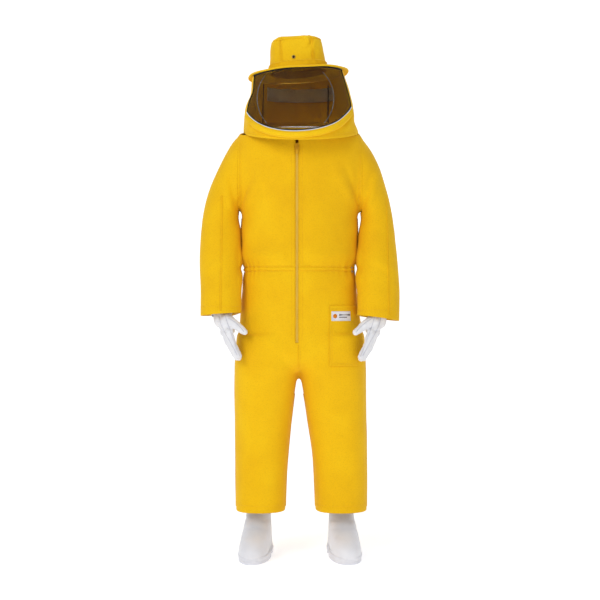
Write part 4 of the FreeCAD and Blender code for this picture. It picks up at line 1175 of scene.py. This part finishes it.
def make_hood():
    panels = hood_piece("hood_cloth", lambda c: not in_window(c) and not in_vent(c), HOOD, CLOTH)
    piece(panels, "hood",
          ["hood_side_left", "hood_side_right", "hood_back_panel", "hood_base"])
    veil = hood_piece("veil_net_window", in_window, VEIL, 0.0008)
    piece(veil, "hood", ["veil_mesh"])
    vent = hood_piece("rear_vent_net", in_vent, VENT, 0.0010)
    piece(vent, "hood", ["rear_vent_mesh"])

    angle = np.linspace(math.radians(180 + 21.5), math.radians(360 - 21.5), 150)
    line = settle(angle, rim_height)
    line = line[line[:, 1] < WINDOW_Y + 0.006]
    out = np.stack([line[:, 0], line[:, 1], 0 * line[:, 2]], axis=1)
    out /= np.linalg.norm(out, axis=1)[:, None]
    run = np.linspace(-1, 1, len(line))
    thick = 0.0112 * (1 - 0.25 * np.abs(run) ** 8) + 0.0010 * rolling_noise(line, 0.022, 1.3)
    ends = np.sqrt(np.clip(1 - np.clip((np.abs(run) - 0.975) / 0.025, 0, 1) ** 2, 0.05, 1))
    centre = line + out * 0.0030 + np.array([0, 0, -0.0104])
    verts, faces = swept(centre, thick * ends, 20)
    roll = new_object("hood_rim_roll", verts, faces, RIM)
    piece(roll, "hood", ["hood_rim"])
    stitch = centre + out * (thick * 0.88)[:, None] + np.array([0, 0, 1]) * (thick * 0.50)[:, None]
    under = centre + out * (thick * 0.80)[:, None] - np.array([0, 0, 1]) * (thick * 0.62)[:, None]
    rows = [stitches(stitch[4:-4]), stitches(under[4:-4])]
    piece(new_object("hood_rim_stitching", *join(rows), THREAD), "hood")

    cord = line + out * 0.0030 + np.array([0, 0, 0.0020])
    pipe = new_object("veil_piping_cord", *swept(cord, 0.0019, 10), PIPING)
    piece(pipe, "hood", ["veil_piping"])
    binding = [swept(line + out * 0.0018 + np.array([0, 0, 0.0056]), 0.0019, 8)]
    for s in (LEFT, RIGHT):
        a = math.radians(270 + s * 68)
        heights = np.linspace(rim_height(s * 0.17, WINDOW_Y) + 0.004,
                              brim_height(s * 0.13, WINDOW_Y) - 0.002, 40)
        edge = []
        for z in heights:
            for _ in range(20):
                x, y = hood_xy(a, z)
                a += (WINDOW_Y - y) * (-3.0 if math.cos(a) < 0 else 3.0)
            edge.append((float(x), float(y), z))
        edge = np.array(edge)
        binding.append(swept(edge + np.array([s * 0.0012, -0.0010, 0]), 0.0018, 8))
    top = settle(np.linspace(math.radians(180 + 20), math.radians(360 - 20), 90), brim_height)
    binding.append(swept(top + np.array([0, -0.0015, -0.0035]), 0.0024, 8))
    piece(new_object("veil_binding", *join(binding), BINDING), "hood")

    turn = np.linspace(math.radians(-42), math.radians(222), 140)
    hoop = np.stack([-0.0150 + 0.127 * np.cos(turn), -0.100 + 0.020 * np.sin(turn),
                     1.537 + 0.127 * np.sin(turn)], axis=1)
    hoop = hoop[hoop[:, 2] < brim_height(hoop[:, 0], hoop[:, 1]) - 0.006]
    gap = int(np.argmax(np.linalg.norm(np.diff(hoop, axis=0), axis=1))) + 1
    arcs = [swept(hoop[:gap], 0.0015, 8), swept(hoop[gap:], 0.0015, 8)]
    piece(new_object("veil_hoop_wire", *join(arcs), WIRE), "hood", ["veil_hoop"])

    rows = []
    for inset in (0.008, 0.014):
        line = settle(angle, lambda x, y: lip_height(x, y) + inset)
        outward = np.stack([line[:, 0], line[:, 1], 0 * line[:, 2]], axis=1)
        outward /= np.linalg.norm(outward, axis=1)[:, None]
        rows.append(np.vstack([line, line[:1]]) + np.vstack([outward, outward[:1]]) * 0.0006)
    creased = [hood_creases(r) for r in rows]
    lip = new_object("hood_lip_stitching", *join([stitches(r) for r in creased]), THREAD)
    piece(lip, "hood")

    frame_rows = []
    back = lambda x, z: hood_creases(np.array([[x, *_back_y(x, z)]]))[0]
    box_path = [back(x, VENT_LOW) for x in np.linspace(-VENT_HALF, VENT_HALF, 60)]
    box_path += [back(VENT_HALF, z) for z in np.linspace(VENT_LOW, VENT_HIGH, 16)]
    box_path += [back(x, VENT_HIGH) for x in np.linspace(VENT_HALF, -VENT_HALF, 60)]
    box_path += [back(-VENT_HALF, z) for z in np.linspace(VENT_HIGH, VENT_LOW, 16)]
    frame_rows.append(swept(np.array(box_path), 0.0024, 8))
    tapes = []
    for x in (-0.128, 0.098):
        line = [back(x, z) + np.array([0, -0.0068, 0]) for z in np.linspace(1.47, 1.618, 30)]
        tapes.append(swept(np.array(line), 0.0018, 6))
    piece(new_object("rear_vent_binding", *join(frame_rows), TRIM), "hood")
    piece(new_object("hood_inner_tapes", *join(tapes), BINDING), "hood")


def _back_y(x, z):
    """The hood's y at the back for an x and z, with the z."""
    low, high = 0.02, math.pi - 0.02
    for _ in range(40):
        mid = (low + high) / 2
        if hood_xy(mid, z)[0] > x:
            low = mid
        else:
            high = mid
    return float(hood_xy((low + high) / 2, z)[1]), z


make_hood()

# ---------------------------------------------------------------- hat

# height above the brim, half width, half depth, squareness
CROWN = np.array([
    (-0.004, 0.0975, 0.112, 2.2),
    (0.004, 0.0975, 0.1115, 2.3),
    (0.018, 0.0960, 0.1095, 2.5),
    (0.050, 0.0915, 0.1045, 2.8),
    (0.075, 0.0885, 0.1000, 3.1),
    (0.089, 0.0860, 0.0965, 3.3),
    (0.099, 0.0815, 0.0920, 3.3),
    (0.1060, 0.0730, 0.0830, 3.1),
    (0.1095, 0.0580, 0.0680, 2.8),
    (0.1110, 0.0360, 0.0440, 2.4),
    (0.1114, 0.0120, 0.0150, 2.2),
])
TOP = 0.1114


def crown_point(angle, h, lift=0.0):
    rx, ry, power = (float(curve(CROWN[:, 0], CROWN[:, k], h)) for k in (1, 2, 3))
    c, s = math.cos(angle), math.sin(angle)
    x = (rx + lift) * np.sign(c) * abs(c) ** (2 / power)
    y = (ry + lift) * np.sign(s) * abs(s) ** (2 / power)
    return np.array([x, y, h])


def in_hat(points):
    m = np.array(HAT)
    return np.asarray(points, float) @ m[:3, :3].T + m[:3, 3]


def make_hat():
    count = 160
    heights = np.concatenate([np.linspace(-0.004, 0.089, 30), np.linspace(0.0915, TOP, 18)])
    rings = [np.array([crown_point(TAU * k / count, h) for k in range(count)]) for h in heights]
    verts = np.concatenate(rings)
    x, y, z = verts.T
    out = verts * np.array([1, 1, 0.3])
    out /= np.linalg.norm(out, axis=1)[:, None]
    add = 0.0022 * rolling_noise(verts, (0.045, 0.045, 0.07), 4.0) + 0.0008 * rolling_noise(verts, 0.02, 9.0)
    add -= fold(verts, (0.048, 0.108), (0.052, 0.008), 0.0035, 0.0030)
    add += fold(verts, (0.028, 0.104), (0.044, 0.074), 0.0060, 0.0042)
    add -= fold(verts, (0.058, 0.096), (0.038, 0.066), 0.0050, 0.0034)
    add += fold(verts, (0.060, 0.086), (0.050, 0.050), 0.0060, 0.0028)
    add -= fold(verts, (-0.066, 0.104), (-0.070, 0.010), 0.0030, 0.0018)
    add += 0.0050 * np.exp(-(((x + 0.050) / 0.016) ** 2)) * ramp(z, 0.100, 0.108)
    add -= 0.0040 * ramp(z, 0.1085, TOP) * (1 - ramp(np.hypot(x, y), 0.0, 0.05))
    verts = verts + out * add[:, None]
    faces = tube_faces(len(rings), count)
    faces.append(tuple(range(len(verts) - count, len(verts))))
    crown = new_object("hat_crown_cloth", in_hat(verts), faces, HAT_CLOTH)
    solidify(crown, 0.003)
    piece(crown, "hood", named("crown_front", "crown_back", "crown_side", "crown_lid"))

    rows, count = [], 220
    angle = np.linspace(0, TAU, count, endpoint=False)
    wave = 0.0014 * np.sin(angle * 3 + 2.8) + 0.0009 * np.sin(angle * 7 + 2.0)
    for t in np.linspace(0, 1, 22):
        rx = 0.0965 * (1 - t) + 0.1680 * t
        ry = 0.1110 * (1 - t) + 0.1800 * t
        drop = -0.0100 * t**1.7 + wave * t**2 + 0.0004 * math.sin(t * 40)
        rows.append(np.stack([rx * np.cos(angle), ry * np.sin(angle), drop], axis=1))
    verts = np.concatenate(rows)
    brim = new_object("hat_brim_cloth", in_hat(verts), tube_faces(len(rows), count), HAT_CLOTH)
    solidify(brim, 0.003, 0)
    piece(brim, "hood", ["hat_brim"])
    edge = rows[-1] + np.array([0, 0, -0.0002])
    roll = new_object("hat_brim_edge_roll", *join([swept(in_hat(edge), 0.0030, 10, closed=True)]), HAT_CLOTH)
    piece(roll, "hood", ["brim_wire"])
    rows_ = []
    for t in (0.16, 0.30, 0.44, 0.58, 0.72, 0.86, 0.955):
        rx, ry = 0.0965 * (1 - t) + 0.1680 * t, 0.1110 * (1 - t) + 0.1800 * t
        drop = -0.0100 * t**1.7 + wave * t**2 + 0.0019
        ring_ = np.stack([rx * np.cos(angle), ry * np.sin(angle), drop], axis=1)
        rows_.append(stitches(in_hat(np.vstack([ring_, ring_[:1]]))))
    piece(new_object("hat_brim_stitching", *join(rows_), THREAD), "hood")

    welts, rows_ = [], []
    for a0, height in ((62, 0.108), (-62, 0.108), (118, 0.108), (242, 0.108)):
        line = [crown_point(math.radians(a0), h, 0.0006) for h in np.linspace(0.006, height, 40)]
        welts.append(swept(in_hat(line), 0.0011, 6))
        for turn in (-3.2, 3.2):
            line = [crown_point(math.radians(a0 + turn), h, 0.0008) for h in np.linspace(0.008, 0.097, 40)]
            rows_.append(stitches(in_hat(line)))
    ring_ = [crown_point(a, 0.0975, 0.0008) for a in np.linspace(0, TAU, 160)]
    welts.append(swept(in_hat(ring_[:-1]), 0.0013, 6, closed=True))
    for h in (0.0030, 0.0200):
        line = [crown_point(a, h + 0.0006 * math.sin(a * 9), 0.0042) for a in np.linspace(0, TAU, 160)]
        rows_.append(stitches(in_hat(line)))
    piece(new_object("hat_crown_welts", *join(welts), HAT_CLOTH), "hood")
    piece(new_object("hat_crown_stitching", *join(rows_), THREAD), "hood")

    band, count = [], 200
    for h in np.linspace(-0.002, 0.0235, 12):
        ring_ = []
        for k in range(count):
            a = TAU * k / count
            pucker = 0.0006 * math.sin(a * 60 + 3 * math.sin(a * 5)) + 0.0007 * math.sin(a * 23)
            ring_.append(crown_point(a, h, 0.0026 + pucker - (0.0016 if h > 0.023 else 0)))
        band.append(np.array(ring_))
    obj = new_object("hat_band_cloth", in_hat(np.concatenate(band)), tube_faces(len(band), count), HAT_CLOTH)
    solidify(obj, 0.0016)
    piece(obj, "hood", ["hat_band"])

    eye_angle = math.radians(270 - 4)
    centre = crown_point(eye_angle, 0.033, 0.0024)
    ring_ = []
    for k in range(40):
        a = TAU * k / 40
        ring_.append(centre + np.array([0.0050 * math.cos(a), 0.0, 0.0050 * math.sin(a)]))
    eyelet = [swept(in_hat(ring_), 0.0013, 10, closed=True)]
    piece(new_object("hat_eyelet_ring", *join(eyelet), BRASS), "hood", ["crown_eyelet"])
    # painted shadow: a black disc of binding cloth fills the eyelet's ring, where the hole would only show
    # shade
    turns = [TAU * k / 24 for k in range(24)]
    disc = [np.array([centre + np.array([r * math.cos(t), -0.0004 + 0.3 * r, r * math.sin(t)]) for t in turns])
            for r in (0.0046, 0.0030, 0.0008)]
    eyelet_shadow = new_object("hat_eyelet_painted_shadow", in_hat(np.concatenate(disc)), tube_faces(3, 24), BINDING)
    piece(eyelet_shadow, "hood")


make_hat()

# ---------------------------------------------------------------- gloves and boots

def capsule(a, b, ra, rb, flat=1.0, count=20):
    """A rounded, tapered stub from a to b for a remeshed union."""
    a, b = np.array(a, float), np.array(b, float)
    axis = b - a
    axis /= np.linalg.norm(axis)
    side = np.cross(axis, (0, 1, 0))
    side /= np.linalg.norm(side)
    other = np.cross(axis, side)
    rings = []
    turn = np.linspace(0, TAU, count, endpoint=False)
    for t in np.linspace(-math.pi / 2 + 0.05, 0, 6):
        rings.append((a + axis * ra * math.sin(t), ra * math.cos(t)))
    for t in np.linspace(0, math.pi / 2 - 0.05, 6):
        rings.append((b + axis * rb * math.sin(t), rb * math.cos(t)))
    rows = [c + r * (np.cos(turn)[:, None] * side + flat * np.sin(turn)[:, None] * other) for c, r in rings]
    return solid_loft(rows)


def make_glove(side):
    """White leather glove: palm, thumb and four fingers hanging towards the leg."""
    s, name = side, SIDE_NAME[side]
    dz = {RIGHT: 0.0, LEFT: -0.002}[side]
    def at(x, y, z):
        return (s * x, y, z + dz)
    parts = [
        capsule(at(0.262, -0.062, 0.850), at(0.256, -0.076, 0.802), 0.030, 0.032, 1.0),
        capsule(at(0.256, -0.078, 0.806), at(0.240, -0.092, 0.768), 0.031, 0.023, 1.25),
        capsule(at(0.250, -0.070, 0.806), at(0.246, -0.072, 0.762), 0.027, 0.021, 1.2),
    ]
    knuckles = [(-0.118, 0.234, 0.760, 0.2005, 0.682, 0.0115), (-0.100, 0.240, 0.756, 0.2030, 0.676, 0.0120),
                (-0.080, 0.246, 0.756, 0.2110, 0.676, 0.0115), (-0.062, 0.251, 0.762, 0.2220, 0.690, 0.0100)]
    for y, x0, z0, x1, z1, r in knuckles:
        mid = ((x0 + x1) / 2 + 0.004, y, (z0 + z1) / 2)
        parts.append(capsule(at(x0, y, z0), at(mid[0], mid[1], mid[2]), r * 1.28, r * 1.08))
        parts.append(capsule(at(*mid), at(x1, y - 0.002, z1), r * 1.08, r * 0.86))
    parts.append(capsule(at(0.244, -0.108, 0.804), at(0.212, -0.122, 0.786), 0.0200, 0.0155))
    parts.append(capsule(at(0.212, -0.122, 0.786), at(0.1835, -0.126, 0.763), 0.0150, 0.0112))
    obj = new_object(f"glove_leather_{name}", *join(parts), GLOVE)
    remesh(obj, 0.0026, 5)
    obj.data.materials.clear()
    obj.data.materials.append(GLOVE)
    p, n = points_of(obj), normals_of(obj)
    add = 0.0016 * rolling_noise(p, (0.018, 0.018, 0.030), 1.0 + s) + 0.0009 * rolling_noise(p, 0.008, 4.0)
    add -= 0.0022 * np.exp(-((p[:, 2] - (0.762 + 0.25 * (np.abs(p[:, 0]) - 0.24))) / 0.0035) ** 2)
    add += fold(p, (s * 0.262, 0.806), (s * 0.238, 0.776), 0.006, 0.0022, -1)
    add -= fold(p, (s * 0.250, 0.812), (s * 0.228, 0.782), 0.004, 0.0020, -1)
    put_points(obj, p + n * add[:, None])
    piece(obj, f"glove_{name}", [f"glove_hand_{name}"])
    tree = Skin(obj)
    rows, welts = [], []
    for path in (
        [(0.268, 0.816), (0.262, 0.790), (0.250, 0.764), (0.232, 0.734), (0.214, 0.700), (0.2065, 0.686)],
        [(0.246, 0.815), (0.240, 0.795), (0.232, 0.772), (0.224, 0.750), (0.212, 0.715), (0.199, 0.684)],
        [(0.236, 0.808), (0.222, 0.800), (0.206, 0.788), (0.190, 0.772), (0.184, 0.763)],
    ):
        path = np.array(path)
        run = np.linspace(0, len(path) - 1, 60)
        xs = np.interp(run, range(len(path)), path[:, 0])
        zs = np.interp(run, range(len(path)), path[:, 1])
        line = keep([tree.front(s * x, z + dz, 0.0004) for x, z in zip(xs, zs)])
        welts.append(swept(line, 0.0010, 6))
    piece(new_object(f"glove_seams_{name}", *join(welts), SEAM), f"glove_{name}")
    at_, down = Vector((s * 0.262, -0.062, 0.826)), Vector((0, -0.309, -0.951))
    across = Vector((1, 0, 0)).cross(down).normalized()
    rings = []
    for along, r in ((0.012, 0.0335), (0.004, 0.0345), (-0.010, 0.0375), (-0.030, 0.0400), (-0.060, 0.0415),
                     (-0.090, 0.0420), (-0.120, 0.0420), (-0.150, 0.0405), (-0.160, 0.0415), (-0.168, 0.0400)):
        turn = np.linspace(0, TAU, 72, endpoint=False)
        wob = r * (1 + 0.02 * np.sin(turn * 5 + along * 90) + 0.012 * np.sin(turn * 9))
        c = np.array(at_) + np.array(down) * along
        ring_ = np.cos(turn)[:, None] * np.array([1.0, 0, 0]) + np.sin(turn)[:, None] * np.array(across)
        rings.append(c + wob[:, None] * ring_)
    obj = new_object(f"glove_gauntlet_cuff_{name}", np.concatenate(rings), tube_faces(len(rings), 72), GLOVE)
    solidify(obj, 0.0012)
    subdivide(obj)
    piece(obj, f"glove_{name}", [f"glove_gauntlet_{name}"])


# height, centre y, half width, half length, squareness
BOOT_ROWS = np.array([
    (0.012, -0.056, 0.0510, 0.1420, 2.35),
    (0.030, -0.056, 0.0515, 0.1425, 2.35),
    (0.050, -0.053, 0.0505, 0.1385, 2.3),
    (0.068, -0.045, 0.0490, 0.1270, 2.25),
    (0.085, -0.033, 0.0475, 0.1090, 2.2),
    (0.102, -0.018, 0.0455, 0.0890, 2.15),
    (0.122, -0.003, 0.0430, 0.0715, 2.1),
    (0.150, 0.009, 0.0405, 0.0585, 2.05),
    (0.200, 0.011, 0.0395, 0.0560, 2.05),
    (0.260, 0.010, 0.0415, 0.0575, 2.05),
    (0.330, 0.009, 0.0450, 0.0600, 2.05),
])


def make_boot(side):
    s, name = side, SIDE_NAME[side]
    place = Matrix.Translation((s * 0.142, 0.038, 0)) @ Matrix.Rotation(math.radians(7 * s), 4, "Z")
    m = np.array(place)
    put = lambda v: np.asarray(v, float) @ m[:3, :3].T + m[:3, 3]
    def level(z, grow=0.0, count=96):
        cy, rx, ry, power = (float(curve(BOOT_ROWS[:, 0], BOOT_ROWS[:, k], z)) for k in range(1, 5))
        ring_ = oval((0, cy, z), rx + grow, ry + grow, count, power)
        toe = ramp(-(ring_[:, 1] - cy) / (ry + grow), 0.1, 1.0) * (1 - ramp(z, 0.06, 0.13))
        ring_[:, 0] += -s * 0.004 * toe
        waist = np.exp(-(((ring_[:, 1] + 0.020) / 0.030) ** 2)) * (1 - ramp(z, 0.04, 0.10))
        ring_[:, 0] *= 1 - 0.10 * waist
        return ring_
    heights = np.concatenate([np.linspace(0.020, 0.130, 46), np.linspace(0.134, 0.330, 40)])
    rings = []
    for z in heights:
        ring_ = level(z)
        x, y = ring_[:, 0], ring_[:, 1]
        cap = ramp(-y, 0.105, 0.118) * (1 - ramp(z, 0.074, 0.082))
        crease = 0.0012 * np.exp(-((z - (0.098 - 0.25 * (y + 0.07))) / 0.006) ** 2) * ramp(-y, 0.02, 0.06)
        crease += 0.0012 * np.exp(-((z - 0.124) / 0.006) ** 2) * ramp(-y, -0.02, 0.03)
        grow = 1 + (0.0015 * cap - crease)[:, None] / 0.05
        centre = np.array([0, ring_[:, 1].mean(), 0])
        ring_ = (ring_ - centre) * np.hstack([grow, grow, np.ones_like(grow)]) + centre
        rings.append(ring_)
    obj = new_object(f"boot_upper_rubber_{name}", put(np.concatenate(rings)), tube_faces(len(rings), 96), BOOT)
    solidify(obj, 0.003)
    piece(obj, "coverall", [f"boot_upper_{name}"])
    profile = [(0.0000, -0.0020), (0.0012, 0.0018), (0.0040, 0.0030), (0.0085, 0.0030), (0.0105, 0.0022),
               (0.0120, 0.0034), (0.0225, 0.0040), (0.0250, 0.0034), (0.0262, 0.0016), (0.0262, -0.0030)]
    rows = []
    for z, grow in profile:
        ring_ = level(max(z, 0.012), grow, 128)
        ring_[:, 2] = z
        if z < 0.009:
            arch = ramp(ring_[:, 1], -0.066, -0.054) * (1 - ramp(ring_[:, 1], -0.002, 0.010))
            ring_[:, 2] = z + arch * 0.0115 * (1 - z / 0.012)
        rows.append(ring_)
    centre = rows[0].mean(axis=0)
    rows.insert(0, centre + (rows[0] - centre) * np.array([0.93, 0.96, 1]))
    verts = np.concatenate(rows)
    faces = tube_faces(len(rows), 128)
    faces.append(tuple(range(128))[::-1])
    faces.append(tuple(range(len(verts) - 128, len(verts))))
    obj = new_object(f"boot_sole_rubber_{name}", put(verts), faces, SOLE)
    piece(obj, "coverall", [f"boot_sole_{name}"])
    bands = []
    for z, r in ((0.0272, 0.0013), (0.0330, 0.0008)):
        ring_ = level(z, 0.0010)
        bands.append(swept(put(ring_), r, 8, closed=True))
    ring_ = level(0.322, 0.0016)
    bands.append(swept(put(ring_), 0.0028, 8, closed=True))
    seam = [level(z, 0.0004)[24] for z in np.linspace(0.030, 0.318, 60)]
    bands.append(swept(put(seam), 0.0011, 6))
    tab = [put([level(z, 0.0022)[24 + k] for k in range(-5, 6)]) for z in np.linspace(0.016, 0.060, 12)]
    bands.append((np.concatenate(tab), tube_faces(12, 11, closed=False)))
    obj = new_object(f"boot_mouldings_{name}", *join(bands), BOOT)
    piece(obj, "coverall")


for side in (LEFT, RIGHT):
    make_glove(side)
    make_boot(side)

# ---------------------------------------------------------------- carried-over CAD nodes

CARRIED = {
    "waist_elastic": ELASTIC, "zip_underflap": TRIM, "main_zip_slider": ENAMEL, "main_zip_pull": ENAMEL,
    "neck_zip_slider": ENAMEL, "neck_zip_pull": ENAMEL,
    "neck_zip_tape_lower": TAPE, "neck_zip_tape_upper": TAPE,
    "neck_zip_teeth_lower": TEETH, "neck_zip_teeth_upper": TEETH, "sweatband": COTTON,
    "storm_cuff_left": KNIT, "storm_cuff_right": KNIT,
    "boot_insole_left": FELT, "boot_insole_right": FELT,
}
for node, material in CARRIED.items():
    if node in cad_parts:
        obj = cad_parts[node]
        obj.data.materials.clear()
        obj.data.materials.append(material)

# ---------------------------------------------------------------- floor, light, camera

def area_light(name, at, aim, size, power):
    light = bpy.data.lights.new(name, "AREA")
    light.shape, light.size, light.size_y = "RECTANGLE", size[0], size[1]
    light.energy = power
    obj = bpy.data.objects.new(name, light)
    obj.location = at
    obj.rotation_euler = (Vector(aim) - Vector(at)).to_track_quat("-Z", "Y").to_euler()
    bpy.context.scene.collection.objects.link(obj)


def make_stage():
    bpy.context.scene.view_settings.view_transform = "Standard"
    backdrop = []
    for t in np.linspace(-4.5, 4.0, 30):
        backdrop.append((t, 0.0))
    for a in np.linspace(0, math.pi / 2, 14)[1:]:
        backdrop.append((4.0 + 1.2 * math.sin(a), 1.2 - 1.2 * math.cos(a)))
    for z in (2.0, 3.0, 4.5):
        backdrop.append((5.2, z))
    verts = [(x, y, z) for y, z in backdrop for x in (-6, -2, 2, 6)]
    m = Nodes("studio_paper", 0.95, 0.0, Specular_IOR_Level=0.1)
    tone = m.noise(3, 3.0)
    m.colour(m.colours(tone, (0.3, rgb(250, 250, 251)), (0.7, rgb(253, 253, 253))))
    m.shader.inputs["Emission Color"].default_value = (1, 1, 1, 1)
    m.shader.inputs["Emission Strength"].default_value = 0.40
    floor = new_object("studio_floor", verts, tube_faces(len(backdrop), 4, closed=False), m.material)
    world = bpy.data.worlds.new("studio")
    bpy.context.scene.world = world
    world.use_nodes = True
    background = world.node_tree.nodes["Background"]
    background.inputs["Color"].default_value = (1, 1, 1, 1)
    background.inputs["Strength"].default_value = 0.47
    area_light("key", (-1.9, -3.0, 2.9), (0, 0, 1.0), (1.8, 1.8), 54)
    area_light("fill", (2.4, -2.6, 1.5), (0, 0, 0.9), (2.0, 2.4), 12)
    area_light("top", (0.0, 0.4, 3.6), (0, 0, 0.8), (2.4, 2.4), 16)


make_stage()
camera = bpy.data.cameras.new("camera")
camera.lens, camera.sensor_width, camera.sensor_fit = 78.96, 36.0, "HORIZONTAL"
eye = bpy.data.objects.new("camera", camera)
eye.location = (0, -4.462, 0.868)
eye.rotation_euler = Euler((math.radians(90), 0, 0))
bpy.context.scene.collection.objects.link(eye)
bpy.context.scene.camera = eye
